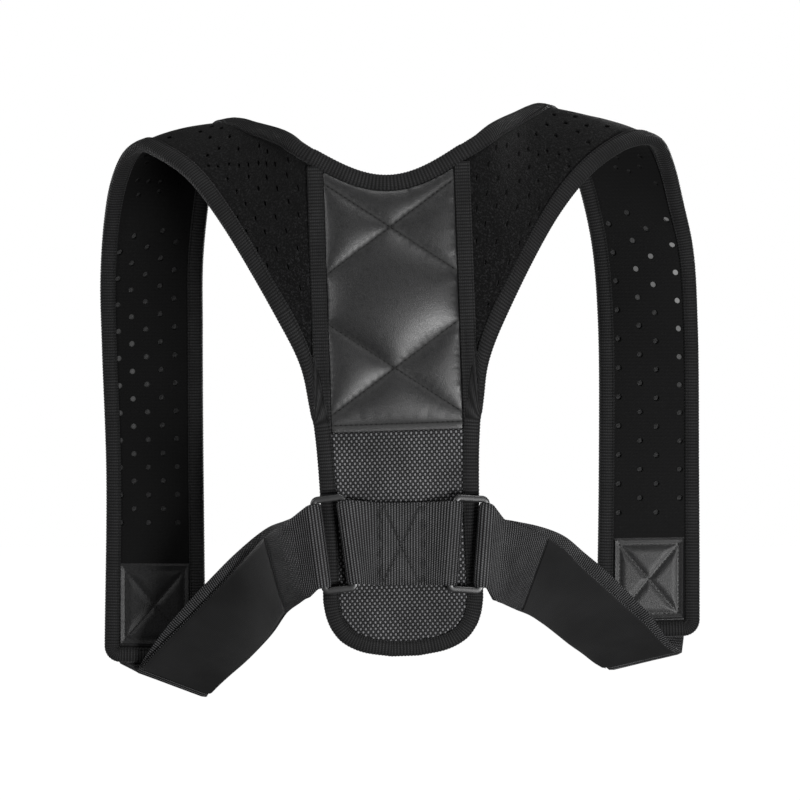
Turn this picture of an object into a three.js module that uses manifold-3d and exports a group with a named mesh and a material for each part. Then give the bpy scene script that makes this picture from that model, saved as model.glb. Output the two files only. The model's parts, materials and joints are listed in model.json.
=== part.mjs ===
// A back support brace, held as it is worn. Millimetres, +Z up, +Y towards the wearer's chest.
// The origin lies midway between the two shoulders that the straps hang on.
import * as THREE from 'three';
import { mergeVertices } from 'three/addons/utils/BufferGeometryUtils.js';
import Module from 'manifold-3d';

const wasm = await Module();
wasm.setup();

// How the brace is held: reach of the straps from the middle of the back panel
const HALF_SPAN = 200;
const STRAP_DEPTH = 150;
const SHOULDER_RISE = 182;
const SHOULDER_SET = 70;
const BACK_BOW = 10;
const PANEL_LEAN = 2;

// Laminate of the straps and the back panel
const LAMINATE = 4;
const CLEAR = 0.3;
const STRAP_WIDTH = 68;
const STRAP_CORNER = 9;
const SHOULDER_RUN = 250;

// Back panel, in its own upright frame
const PANEL_TOP = 155.5;
const PANEL_WIDTH = 102.5;
const PANEL_HEIGHT = 312.5;
const FOOT_ROUND = 35;
const NECK_DIP = 17.5;
const SEAM_SPACING = 90;
const SEAM_FOOT = 164;
const SEAM_GAP = 0.9;

// Binding over the edges, and the tapes over the seams
const BINDING_WIDTH = 8;
const BINDING_WALL = 0.8;
const BINDING_SLACK = 0.9;
const TAPE_WIDTH = 9.5;
const TAPE_THICK = 1;
const TAPE_LENGTH = 148;
const TAPE_TAPER = 42;
const TAPE_TIP = 1.6;

// Quilted pad and woven facing
const PAD_LENGTH = 146;
const PAD_EDGE = 1.6;
const PAD_PUFF = 4.4;
const PUFF_REACH = 13;
const QUILT_SPREAD = 28;
const UPPER_CROSS = 50;
const LOWER_CROSS = 136;
const FACING_THICK = 1.2;
const FACING_SLACK = 1.5;

// Webbing, rings and hook tape
const WEB_WIDTH = 50;
const WEB_THICK = 1.8;
const WEB_DROP = 243;
const STITCH_BLOCK = 30;
const RING_HEIGHT = 60;
const RING_WIDTH = 22.5;
const RING_BAR = 4.2;
const RING_DEPTH = 3.6;
const RING_BEVEL = 1;
const RING_CORNER = 4;
const LOOP_SLACK = 0.5;
const LOOP_RUNOUT = 13;
const LOOP_LEAD = 3.6;
const RING_SPACING = 81.4;
const RING_SHIFT = 3;
const FAR_SHIFT = 8;
const LAYER_GAP = 0.8;
const TAIL_GAP = 9;
const HOOK_THICK = 1;
const HOOK_INSET = 0.6;
const WOVEN_LENGTH = 52;

// Strap ends
const PATCH_WIDTH = 47.5;
const PATCH_LENGTH = 56;
const PATCH_THICK = 1;
const PATCH_INSET = 10;
const SEWN_LENGTH = 52;
const SEWN_DROP = 3;

// Perforations
const HOLE_ACROSS = 4;
const HOLE_SIDES = 5;
const HOLE_PITCH = 18.4;
const FIRST_HOLE = 93;
const HOLE_ROWS = 8;
const HOLE_COLUMNS = [-0.3, -0.1, 0.1, 0.3];
const WING_HOLE_ACROSS = 3;
const WING_PITCH = 30;
const WING_HOLE_ROWS = 3;
const WING_HOLES_IN_ROW = 3;
const FIRST_WING_HOLE = 24;

// Meshing: sections along a piece, and points across it
const SHOULDER_SECTIONS = 27;
const FRONT_SECTIONS = 13;
const STRAP_POINTS = 6;
const CORNER_SECTIONS = 4;
const TAPED_SECTIONS = 12;
const WOVEN_SECTIONS = 4;
const BAND_POINTS = 4;
const SEAM_SECTIONS = 9;
const WAIST_SECTIONS = 7;
const FOOT_SECTIONS = 9;
const PANEL_POINTS = 9;
const PAD_SECTIONS = 21;
const PAD_POINTS = 11;
const LOOP_STEPS = 6;

// The panel's waist, from the foot of the seams to the rounded foot.
// down: share of the waist's height. half: share of the panel's half width.
const WAIST_PROFILE = [
  { down: 0, half: 1 },
  { down: 0.2, half: 0.965 },
  { down: 0.45, half: 0.945 },
  { down: 0.7, half: 0.945 },
  { down: 1, half: 0.955 },
];

// The rounded foot. fall: share of the foot's height. half: share of the width above it.
const FOOT_PROFILE = [
  { fall: 0, half: 1 },
  { fall: 0.16, half: 0.985 },
  { fall: 0.32, half: 0.96 },
  { fall: 0.52, half: 0.9 },
  { fall: 0.74, half: 0.77 },
  { fall: 0.91, half: 0.53 },
  { fall: 1, half: 0.18 },
];

// Sections of a shoulder strap, from the wing by the panel to the end on the chest.
// out, forward and up: middle of the section, as shares of HALF_SPAN, STRAP_DEPTH and SHOULDER_RISE.
// wide: share of STRAP_WIDTH over the bindings. lean: degrees that the outer edge hangs.
// swing: degrees that the outer edge turns forward. arch: height of the cross curve, as a share of STRAP_WIDTH.
const LEFT_STRAP = [
  { out: 0.29, forward: 0.012, up: 0.49, wide: 2.06, lean: 91, swing: -2, arch: 0 },
  { out: 0.35, forward: 0.06, up: 0.594, wide: 1.73, lean: 88, swing: -6, arch: 0.01 },
  { out: 0.5, forward: 0.27, up: 0.796, wide: 1.08, lean: 72, swing: -22, arch: 0.02 },
  { out: 0.58, forward: 0.38, up: 0.884, wide: 0.9, lean: 50, swing: -31, arch: 0.03 },
  { out: 0.65, forward: 0.49, up: 0.93, wide: 0.92, lean: 29, swing: -31, arch: 0.05 },
  { out: 0.7, forward: 0.58, up: 0.945, wide: 0.95, lean: 17, swing: -25, arch: 0.06 },
  { out: 0.74, forward: 0.67, up: 0.92, wide: 1.01, lean: 15, swing: -19, arch: 0.06 },
  { out: 0.78, forward: 0.78, up: 0.835, wide: 1.05, lean: 15, swing: -13, arch: 0.05 },
  { out: 0.81, forward: 0.88, up: 0.69, wide: 1.05, lean: 12, swing: -7, arch: 0.03 },
  { out: 0.83, forward: 0.95, up: 0.485, wide: 1.03, lean: 9, swing: -2, arch: 0.01 },
  { out: 0.83, forward: 0.98, up: 0.23, wide: 1.01, lean: 4, swing: 0, arch: 0 },
  { out: 0.82, forward: 0.97, up: -0.3, wide: 0.97, lean: 1, swing: 0, arch: 0 },
  { out: 0.82, forward: 0.92, up: -0.97, wide: 1.01, lean: -1, swing: 0, arch: 0 },
];
const RIGHT_STRAP = [
  { out: 0.262, forward: 0.012, up: 0.51, wide: 2.08, lean: 88, swing: -2, arch: 0 },
  { out: 0.315, forward: 0.055, up: 0.617, wide: 1.75, lean: 86, swing: -5, arch: 0.01 },
  { out: 0.44, forward: 0.24, up: 0.818, wide: 1.11, lean: 70, swing: -15, arch: 0.02 },
  { out: 0.52, forward: 0.34, up: 0.911, wide: 0.92, lean: 47, swing: -17, arch: 0.04 },
  { out: 0.595, forward: 0.44, up: 0.965, wide: 0.96, lean: 27, swing: -14, arch: 0.07 },
  { out: 0.645, forward: 0.52, up: 0.975, wide: 1.02, lean: 17, swing: -11, arch: 0.07 },
  { out: 0.697, forward: 0.62, up: 0.965, wide: 1.07, lean: 13, swing: -8, arch: 0.07 },
  { out: 0.743, forward: 0.75, up: 0.888, wide: 1.08, lean: 11, swing: -6, arch: 0.055 },
  { out: 0.787, forward: 0.86, up: 0.769, wide: 1.06, lean: 12, swing: -4, arch: 0.03 },
  { out: 0.833, forward: 0.945, up: 0.573, wide: 1.02, lean: 6, swing: -2, arch: 0.01 },
  { out: 0.853, forward: 0.98, up: 0.293, wide: 1, lean: 4, swing: 0, arch: 0 },
  { out: 0.856, forward: 0.97, up: -0.26, wide: 1, lean: 0, swing: 0, arch: 0 },
  { out: 0.853, forward: 0.93, up: -0.875, wide: 1.03, lean: -2, swing: 0, arch: 0 },
];

// Sections of a side strap, from its fold below the strap end to the ring, with the same columns
const LEFT_RUN = [
  { out: 0.765, forward: 0.89, up: -1.064, lean: -21, swing: 0 },
  { out: 0.72, forward: 0.83, up: -1.008, lean: -23, swing: -7 },
  { out: 0.662, forward: 0.76, up: -0.942, lean: -31, swing: -15 },
  { out: 0.587, forward: 0.65, up: -0.862, lean: -44, swing: -19 },
  { out: 0.514, forward: 0.53, up: -0.78, lean: -56, swing: -17 },
  { out: 0.44, forward: 0.38, up: -0.69, lean: -66, swing: -8 },
  { out: 0.37, forward: 0.19, up: -0.598, lean: -75, swing: -3 },
  { out: 0.318, forward: 0.03, up: -0.55, lean: -78, swing: -2 },
  { out: 0.275, forward: -0.045, up: -0.516, lean: -81, swing: 0 },
];
const RIGHT_RUN = [
  { out: 0.845, forward: 0.89, up: -0.978, lean: -14, swing: 0 },
  { out: 0.788, forward: 0.84, up: -0.935, lean: -16, swing: -13 },
  { out: 0.722, forward: 0.74, up: -0.866, lean: -28, swing: -22 },
  { out: 0.653, forward: 0.63, up: -0.802, lean: -42, swing: -27 },
  { out: 0.586, forward: 0.51, up: -0.737, lean: -52, swing: -27 },
  { out: 0.526, forward: 0.39, up: -0.68, lean: -61, swing: -24 },
  { out: 0.467, forward: 0.26, up: -0.624, lean: -66, swing: -14 },
  { out: 0.402, forward: 0.12, up: -0.582, lean: -73, swing: -4 },
  { out: 0.343, forward: 0.01, up: -0.55, lean: -81, swing: -2 },
  { out: 0.302, forward: -0.045, up: -0.528, lean: -85, swing: 0 },
];

// How each ring hangs: lean in the plane of the back, and yaw as the strap draws it forward
const SIDES = [
  { name: 'left', side: -1, strap: LEFT_STRAP, run: LEFT_RUN, ringLean: 7.5, ringYaw: 2 },
  { name: 'right', side: 1, strap: RIGHT_STRAP, run: RIGHT_RUN, ringLean: -4, ringYaw: -2 },
];

const CLOTH_FACE = LAMINATE / 2 + CLEAR;
const LEG_FACE = LAMINATE / 2 + BINDING_SLACK;
const BINDING_FACE = LEG_FACE + BINDING_WALL;
const EDGE = BINDING_SLACK + BINDING_WALL;
const PAD_HALF = SEAM_SPACING / 2 - TAPE_WIDTH / 2 - CLEAR;
const LAYER_STEP = (WEB_THICK + LAYER_GAP) / 2;
const LOOP_RADIUS = RING_BAR / 2 + LOOP_SLACK + WEB_THICK / 2;
const RING_STANDOFF = BINDING_FACE + 2 * LOOP_SLACK + WEB_THICK / 2 + LOOP_RADIUS;
const degrees = THREE.MathUtils.degToRad;
const mix = THREE.MathUtils.lerp;

const materials = {
  laminate: { color: 0x1b1b1c, roughness: 0.95, metalness: 0 },
  leather: { color: 0x232324, roughness: 0.5, metalness: 0 },
  ballistic: { color: 0x1d1d1f, roughness: 0.6, metalness: 0 },
  binding: { color: 0x161617, roughness: 0.85, metalness: 0 },
  webbing: { color: 0x1a1a1c, roughness: 0.6, metalness: 0 },
  hook: { color: 0x1e1e20, roughness: 0.8, metalness: 0 },
  plastic: { color: 0x0d0d0e, roughness: 0.4, metalness: 0 },
};

// A point of the back panel's upright frame, turned by the panel's lean
function onBack(x, y, z) {
  return new THREE.Vector3(x, y, z).applyAxisAngle(new THREE.Vector3(0, 1, 0), -degrees(PANEL_LEAN));
}

// The brace curves forward above and below the middle of the back
function bowed(geometry) {
  const position = geometry.attributes.position;
  for (let i = 0; i < position.count; i += 1) {
    const share = position.getZ(i) / SHOULDER_RISE;
    position.setY(i, position.getY(i) + BACK_BOW * share * share);
  }
  return geometry;
}

// A closed body from its points and quads, with every face turned outward
function closedBody(points, quads) {
  const triangles = quads.flatMap(([a, b, c, d]) => [[a, b, c], [a, c, d]]);
  const volume = triangles.reduce((sum, [a, b, c]) => {
    const normal = new THREE.Vector3().crossVectors(points[b], points[c]);
    return sum + points[a].dot(normal);
  }, 0);
  const index = triangles.flatMap(([a, b, c]) => (volume > 0 ? [a, b, c] : [a, c, b]));
  const geometry = new THREE.BufferGeometry();
  const flat = points.flatMap((point) => point.toArray());
  geometry.setAttribute('position', new THREE.Float32BufferAttribute(flat, 3));
  geometry.setIndex(index);
  return geometry;
}

// Normals of a grid of points, all on the side where `toward` lies from the first section
function gridNormals(grid, toward) {
  const rows = grid.length - 1;
  const columns = grid[0].length - 1;
  const normals = grid.map((line, r) => line.map((_, c) => {
    const along = new THREE.Vector3().subVectors(grid[Math.min(r + 1, rows)][c], grid[Math.max(r - 1, 0)][c]);
    const across = new THREE.Vector3().subVectors(line[Math.min(c + 1, columns)], line[Math.max(c - 1, 0)]);
    return along.cross(across).normalize();
  }));
  const turned = normals[0][Math.floor(columns / 2)].dot(toward) < 0 ? -1 : 1;
  return normals.map((line) => line.map((normal) => normal.multiplyScalar(turned)));
}

const BACKWARD = new THREE.Vector3(0, -1, 0);
const FORWARD = new THREE.Vector3(0, 1, 0);

// A sheet of cloth: a grid thickened along its normals from `low` to `high`
function sheet(grid, low, high, toward = BACKWARD) {
  const normals = gridNormals(grid, toward);
  const rows = grid.length;
  const columns = grid[0].length;
  const offset = (level, r, c) => (typeof level === 'function' ? level(r, c) : level);
  const face = (level) => grid.flatMap((line, r) => line.map((point, c) => (
    point.clone().addScaledVector(normals[r][c], offset(level, r, c)))));
  const points = [...face(high), ...face(low)];
  const top = (r, c) => r * columns + c;
  const under = (r, c) => rows * columns + top(r, c);
  const quads = [];
  for (let r = 0; r < rows - 1; r += 1) {
    for (let c = 0; c < columns - 1; c += 1) {
      quads.push([top(r, c), top(r + 1, c), top(r + 1, c + 1), top(r, c + 1)]);
      quads.push([under(r, c), under(r, c + 1), under(r + 1, c + 1), under(r + 1, c)]);
    }
    quads.push([top(r, 0), under(r, 0), under(r + 1, 0), top(r + 1, 0)]);
    const last = columns - 1;
    quads.push([top(r, last), top(r + 1, last), under(r + 1, last), under(r, last)]);
  }
  for (let c = 0; c < columns - 1; c += 1) {
    const last = rows - 1;
    quads.push([top(0, c), top(0, c + 1), under(0, c + 1), under(0, c)]);
    quads.push([top(last, c), under(last, c), under(last, c + 1), top(last, c + 1)]);
  }
  return closedBody(points, quads);
}

// Points of a grid from sections that each have a middle and a half-width vector
function sectionGrid(sections, columns) {
  return sections.map(({ middle, reach }) => Array.from({ length: columns }, (_, c) => (
    middle.clone().addScaledVector(reach, (2 * c) / (columns - 1) - 1))));
}

// The same grid with each section curved across by its arch
function archedGrid(sections, columns) {
  const flat = sectionGrid(sections, columns);
  const normals = gridNormals(flat, BACKWARD);
  return flat.map((line, r) => line.map((point, c) => {
    const share = (2 * c) / (columns - 1) - 1;
    return point.clone().addScaledVector(normals[r][c], sections[r].arch * (1 - share * share));
  }));
}

// A table's row as a section on one side of the brace
function tableSection(row, side, width) {
  const lean = degrees(row.lean);
  const swing = degrees(row.swing);
  const middle = new THREE.Vector3(
    side * row.out * HALF_SPAN,
    row.forward * STRAP_DEPTH,
    row.up * SHOULDER_RISE,
  );
  const reach = new THREE.Vector3(
    side * Math.cos(lean) * Math.cos(swing),
    Math.sin(swing),
    -Math.sin(lean) * Math.cos(swing),
  ).multiplyScalar(width / 2);
  return { middle, reach };
}

// A smooth run through sections, read by the distance along its middle
function smoothRun(sections) {
  const middles = new THREE.CatmullRomCurve3(sections.map((section) => section.middle));
  const reaches = new THREE.CatmullRomCurve3(sections.map((section) => section.reach));
  const arches = new THREE.CatmullRomCurve3(sections.map(({ arch = 0 }) => new THREE.Vector3(arch, 0, 0)));
  const length = middles.getLength();
  const at = (distance) => {
    const t = middles.getUtoTmapping(0, distance);
    return { middle: middles.getPoint(t), reach: reaches.getPoint(t), arch: arches.getPoint(t).x };
  };
  const between = (from, to, count) => Array.from({ length: count }, (_, i) => (
    at(mix(from, to, i / (count - 1)))));
  return { length, at, between };
}

// The cut neck edge, `x` from the middle of the panel
function neckEdge(x) {
  return PANEL_TOP - EDGE - NECK_DIP * Math.cos((Math.PI * x) / SEAM_SPACING);
}

// The lower edge of the neck binding, straight under the neck edge
function underNeckBinding(x) {
  const slope = ((Math.PI * NECK_DIP) / SEAM_SPACING) * Math.sin((Math.PI * x) / SEAM_SPACING);
  return neckEdge(x) - (BINDING_WIDTH + 3 * CLEAR) * Math.hypot(1, slope);
}

// Half widths of the waist and the foot, drawn in by `inset` from the outline over the binding
function waistOutline(inset) {
  const top = PANEL_TOP - SEAM_FOOT;
  const height = PANEL_HEIGHT - SEAM_FOOT - FOOT_ROUND;
  return new THREE.SplineCurve(WAIST_PROFILE.map(({ down, half }) => (
    new THREE.Vector2((half * PANEL_WIDTH) / 2 - inset, top - down * height))));
}

function footOutline(inset) {
  const start = waistOutline(inset).getPoint(1);
  return new THREE.SplineCurve(FOOT_PROFILE.map(({ fall, half }) => (
    new THREE.Vector2(half * start.x, start.y - fall * (FOOT_ROUND - inset)))));
}

// The panel as a grid: its top section follows the neck edge and the dip fades below it
function panelGrid() {
  const top = new THREE.Vector2(SEAM_SPACING / 2, PANEL_TOP - EDGE);
  const seam = new THREE.LineCurve(top, waistOutline(EDGE).getPoint(0));
  const outline = [
    ...seam.getSpacedPoints(SEAM_SECTIONS),
    ...waistOutline(EDGE).getSpacedPoints(WAIST_SECTIONS).slice(1),
    ...footOutline(EDGE).getSpacedPoints(FOOT_SECTIONS).slice(1),
  ];
  const fade = SEAM_FOOT / 2;
  return outline.map(({ x: half, y: z }) => Array.from({ length: PANEL_POINTS }, (_, c) => {
    const x = half * ((2 * c) / (PANEL_POINTS - 1) - 1);
    const share = Math.max(0, 1 - (top.y - z) / fade);
    return onBack(x, 0, z - (top.y - neckEdge((x * SEAM_SPACING) / (2 * half))) * share);
  }));
}

// The seam between panel and wing as the first section of a strap
function seamSection(side) {
  const top = onBack(side * (SEAM_SPACING / 2 + SEAM_GAP), 0, PANEL_TOP - EDGE);
  const foot = onBack(side * (PANEL_WIDTH / 2 - EDGE + SEAM_GAP), 0, PANEL_TOP - SEAM_FOOT);
  return {
    middle: new THREE.Vector3().addVectors(top, foot).multiplyScalar(0.5),
    reach: new THREE.Vector3().subVectors(foot, top).multiplyScalar(0.5),
    arch: 0,
  };
}

function strapRun({ side, strap }) {
  const rows = strap.map((row) => ({
    ...tableSection(row, side, row.wide * STRAP_WIDTH - 2 * EDGE),
    arch: row.arch * STRAP_WIDTH,
  }));
  return smoothRun([seamSection(side), ...rows]);
}

// The strap as a grid, with rounded corners at its end
function strapGrid(run) {
  const front = run.between(SHOULDER_RUN, run.length - STRAP_CORNER, FRONT_SECTIONS);
  const sections = [...run.between(0, SHOULDER_RUN, SHOULDER_SECTIONS), ...front.slice(1)];
  for (let i = 1; i <= CORNER_SECTIONS; i += 1) {
    const angle = (i / CORNER_SECTIONS) * (Math.PI / 2);
    const section = run.at(run.length - STRAP_CORNER * (1 - Math.sin(angle)));
    const half = section.reach.length() - STRAP_CORNER * (1 - Math.cos(angle));
    sections.push({ ...section, reach: section.reach.setLength(half) });
  }
  return archedGrid(sections, STRAP_POINTS);
}

// A drilled point of a strap: its place, and the cloth's normal there
function strapPoint(run, distance, share) {
  const { middle, reach } = run.at(distance);
  const ahead = run.at(Math.min(distance + 2, run.length)).middle;
  const behind = run.at(Math.max(distance - 2, 0)).middle;
  const normal = new THREE.Vector3().subVectors(ahead, behind).cross(reach).normalize();
  return { place: middle.clone().addScaledVector(reach, share), normal };
}

// Holes down the front of a strap, in columns set half a pitch apart
function frontHoles(run) {
  const holes = [];
  HOLE_COLUMNS.forEach((column, c) => {
    for (let r = 0; r < HOLE_ROWS; r += 1) {
      const distance = run.length - FIRST_HOLE - (r + (c % 2) / 2) * HOLE_PITCH;
      holes.push({ ...strapPoint(run, distance, 2 * column), across: HOLE_ACROSS });
    }
  });
  return holes;
}

// Holes in the wing, in rows set half a pitch apart
function wingHoles(run) {
  const holes = [];
  for (let r = 0; r < WING_HOLE_ROWS; r += 1) {
    const distance = FIRST_WING_HOLE + (r * WING_PITCH) / 2;
    const half = run.at(distance).reach.length() - 2 * BINDING_WIDTH;
    for (let i = 0; i < WING_HOLES_IN_ROW; i += 1) {
      const share = ((i + 0.5 + (r % 2) / 2) / WING_HOLES_IN_ROW) * 1.6 - 1;
      const reach = run.at(distance).reach.length();
      holes.push({ ...strapPoint(run, distance, (share * half) / reach), across: WING_HOLE_ACROSS });
    }
  }
  return holes;
}

function drill({ place, normal, across }) {
  const geometry = new THREE.CylinderGeometry(across / 2, across / 2, 3 * LAMINATE, HOLE_SIDES);
  const turn = new THREE.Quaternion().setFromUnitVectors(new THREE.Vector3(0, 1, 0), normal);
  geometry.applyQuaternion(turn);
  geometry.translate(place.x, place.y, place.z);
  return geometry;
}

// Solids for joining and cutting
function toSolid(geometry) {
  const bare = geometry.clone();
  bare.deleteAttribute('normal');
  bare.deleteAttribute('uv');
  const merged = mergeVertices(bare, 1e-4);
  return new wasm.Manifold(new wasm.Mesh({
    numProp: 3,
    vertProperties: merged.attributes.position.array,
    triVerts: Uint32Array.from(merged.index.array),
  }));
}

function toGeometry(solid) {
  const mesh = solid.getMesh();
  const geometry = new THREE.BufferGeometry();
  geometry.setAttribute('position', new THREE.BufferAttribute(mesh.vertProperties, 3));
  geometry.setIndex(new THREE.BufferAttribute(mesh.triVerts, 1));
  return geometry;
}

function shoulderStrap(run) {
  const band = toSolid(sheet(strapGrid(run), -LAMINATE / 2, LAMINATE / 2));
  const drills = [...frontHoles(run), ...wingHoles(run)].map((hole) => toSolid(drill(hole)));
  return toGeometry(drills.reduce((solid, hole) => solid.subtract(hole), band));
}

// The triangles of a grid, split as the sheets made from it are
function gridTriangles(grid) {
  const triangles = [];
  for (let r = 0; r < grid.length - 1; r += 1) {
    for (let c = 0; c < grid[0].length - 1; c += 1) {
      const [a, b, d, e] = [grid[r][c], grid[r + 1][c], grid[r + 1][c + 1], grid[r][c + 1]];
      triangles.push([a, b, d], [a, d, e]);
    }
  }
  return triangles;
}

// The point of the cloth that lies nearest straight over or under `point`, or `point` itself past the cloth
function ontoCloth(triangles, point, normal) {
  const start = point.clone().addScaledVector(normal, BINDING_WIDTH);
  const ray = new THREE.Ray(start, normal.clone().negate());
  const hits = triangles
    .map(([a, b, c]) => ray.intersectTriangle(a, b, c, false, new THREE.Vector3()))
    .filter((hit) => hit !== null && hit.distanceTo(point) < BINDING_WIDTH);
  hits.sort((one, other) => one.distanceTo(point) - other.distanceTo(point));
  return hits[0] ?? point;
}

// A station on an edge: its point and normal, the way outward, and the end of the binding's leg
function edgeStation(edge, i, triangles) {
  const { point, normal, inner } = edge[i];
  const [before, after] = [edge[Math.max(i - 1, 0)], edge[Math.min(i + 1, edge.length - 1)]];
  const along = new THREE.Vector3().subVectors(after.point, before.point);
  const outward = along.cross(normal).normalize();
  if (outward.dot(new THREE.Vector3().subVectors(inner, point)) > 0) {
    outward.negate();
  }
  const leg = ontoCloth(triangles, point.clone().addScaledVector(outward, -BINDING_WIDTH), normal);
  return { point, normal, outward, leg };
}

// Edge points down a grid's first or last column, or along one of its rows, with a point further in
function columnEdge(grid, c) {
  const normals = gridNormals(grid, BACKWARD);
  const inner = c === 0 ? 1 : c - 1;
  return grid.map((line, r) => ({ point: line[c], normal: normals[r][c], inner: line[inner] }));
}

function rowEdge(grid, r) {
  const normals = gridNormals(grid, BACKWARD);
  const inner = r === 0 ? 1 : r - 1;
  return grid[r].map((point, c) => ({ point, normal: normals[r][c], inner: grid[inner][c] }));
}

// The folded tape's section at one station: its outer face, then its inner face
function bindingSection({ point, normal, outward, leg }) {
  const corner = (past, level) => point.clone().addScaledVector(outward, past).addScaledVector(normal, level);
  const end = (level) => leg.clone().addScaledVector(normal, level);
  return [
    end(BINDING_FACE),
    corner(EDGE, BINDING_FACE - CLEAR),
    corner(EDGE, CLEAR - BINDING_FACE),
    end(-BINDING_FACE),
    end(-LEG_FACE),
    corner(BINDING_SLACK, -LEG_FACE),
    corner(BINDING_SLACK, LEG_FACE),
    end(LEG_FACE),
  ];
}

// Binding folded over a run of edge points
function binding(edge, triangles) {
  const rings = edge.map((_, i) => bindingSection(edgeStation(edge, i, triangles)));
  const last = edge.length - 1;
  const count = rings[0].length;
  const quads = [];
  for (let i = 0; i < last; i += 1) {
    for (let k = 0; k < count; k += 1) {
      const next = (k + 1) % count;
      quads.push([i * count + k, (i + 1) * count + k, (i + 1) * count + next, i * count + next]);
    }
  }
  const half = count / 2;
  const end = last * count;
  for (let k = 0; k < half - 1; k += 1) {
    quads.push([k, k + 1, count - 2 - k, count - 1 - k]);
    quads.push([end + k, end + count - 1 - k, end + count - 2 - k, end + k + 1]);
  }
  return closedBody(rings.flat(), quads);
}

// One binding runs up the left strap's inner edge, round the neck and down the right one
function neckBinding(panel, left, right, triangles) {
  return binding([
    ...columnEdge(left, 0).slice(1).reverse(),
    ...rowEdge(panel, 0),
    ...columnEdge(right, 0).slice(1),
  ], triangles);
}

// The other runs down each strap's outer edge, along the panel's side and round its foot
function armBinding(panel, left, right, triangles) {
  return binding([
    ...columnEdge(left, STRAP_POINTS - 1).reverse(),
    ...columnEdge(panel, 0).slice(SEAM_SECTIONS + 1, -1),
    ...rowEdge(panel, panel.length - 1).slice(1, -1),
    ...columnEdge(panel, PANEL_POINTS - 1).slice(SEAM_SECTIONS + 1, -1).reverse(),
    ...columnEdge(right, STRAP_POINTS - 1),
  ], triangles);
}

// A tape over a seam: straight down, then narrowing beside the arm binding
function seamTape(side) {
  const inner = SEAM_SPACING / 2 - TAPE_WIDTH / 2;
  const outer = SEAM_SPACING / 2 + TAPE_WIDTH / 2;
  const depth = -(CLOTH_FACE + TAPE_THICK / 2);
  const foot = PANEL_TOP - BINDING_WIDTH - TAPE_LENGTH;
  const bends = [0, 0.25, 0.5, 1 - TAPE_TAPER / TAPE_LENGTH, 1];
  const grid = bends.map((share, r) => {
    const tip = r === bends.length - 1 ? inner + TAPE_TIP : outer - CLEAR;
    return [inner, tip].map((x) => onBack(side * x, depth, mix(underNeckBinding(x), foot, share)));
  });
  return sheet(grid, -TAPE_THICK / 2, TAPE_THICK / 2);
}

// Height of the quilted pad: it is full in the fields and falls to its edge and the crossed seams
function puff(x, down) {
  const toCross = (cross) => {
    const rise = QUILT_SPREAD / PAD_HALF;
    const near = Math.abs(Math.abs(down - cross) - rise * Math.abs(x));
    return near / Math.hypot(1, rise);
  };
  const away = Math.min(
    toCross(UPPER_CROSS),
    toCross(LOWER_CROSS),
    PAD_HALF - Math.abs(x),
    Math.abs(PANEL_TOP - down - padTop(x)),
    PANEL_TOP - down - padFoot(),
  );
  const share = THREE.MathUtils.clamp(away / PUFF_REACH, 0, 1);
  return PAD_EDGE + PAD_PUFF * Math.sin((share * Math.PI) / 2);
}

function padTop(x) {
  return underNeckBinding(x) - CLEAR;
}

function padFoot() {
  return padTop(0) - PAD_LENGTH;
}

function leatherPad() {
  const places = Array.from({ length: PAD_SECTIONS }, (_, r) => (
    Array.from({ length: PAD_POINTS }, (_unused, c) => {
      const x = PAD_HALF * ((2 * c) / (PAD_POINTS - 1) - 1);
      return { x, z: mix(padTop(x), padFoot(), r / (PAD_SECTIONS - 1)) };
    })));
  const grid = places.map((line) => line.map(({ x, z }) => onBack(x, -CLOTH_FACE, z)));
  const height = (r, c) => puff(places[r][c].x, PANEL_TOP - places[r][c].z);
  return sheet(grid, 0, height);
}

function nylonFacing() {
  const top = padFoot() - CLEAR;
  const inset = EDGE + BINDING_WIDTH + FACING_SLACK;
  const below = [
    ...waistOutline(inset).getSpacedPoints(WAIST_SECTIONS),
    ...footOutline(inset).getSpacedPoints(FOOT_SECTIONS).slice(1),
  ].filter(({ y }) => y < top - CLEAR);
  const outline = [new THREE.Vector2(below[0].x, top), ...below];
  const grid = outline.map(({ x: half, y: z }) => [-1, -0.5, 0, 0.5, 1].map((share) => (
    onBack(half * share, -CLOTH_FACE, z))));
  return sheet(grid, 0, FACING_THICK);
}

// A ring's own directions: `up` its long axis, `outward` to its side of the brace, `back` from the panel
function ringFrame({ side, ringLean, ringYaw }) {
  const turn = new THREE.Matrix4().makeRotationY(-degrees(ringLean));
  turn.multiply(new THREE.Matrix4().makeRotationZ(-degrees(ringYaw)));
  const centre = new THREE.Vector3(
    RING_SHIFT + (side * RING_SPACING) / 2,
    -RING_STANDOFF,
    PANEL_TOP - WEB_DROP,
  );
  return {
    centre,
    turn,
    up: new THREE.Vector3(0, 0, 1).transformDirection(turn),
    outward: new THREE.Vector3(side, 0, 0).transformDirection(turn),
    back: new THREE.Vector3(0, -1, 0).transformDirection(turn),
  };
}

function roundedOutline(Kind, width, height, corner) {
  const x = width / 2;
  const y = height / 2;
  const outline = new Kind();
  outline.moveTo(x, y - corner);
  outline.absarc(x - corner, y - corner, corner, 0, Math.PI / 2);
  outline.absarc(corner - x, y - corner, corner, Math.PI / 2, Math.PI);
  outline.absarc(corner - x, corner - y, corner, Math.PI, 1.5 * Math.PI);
  outline.absarc(x - corner, corner - y, corner, 1.5 * Math.PI, 2 * Math.PI);
  return outline;
}

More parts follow.
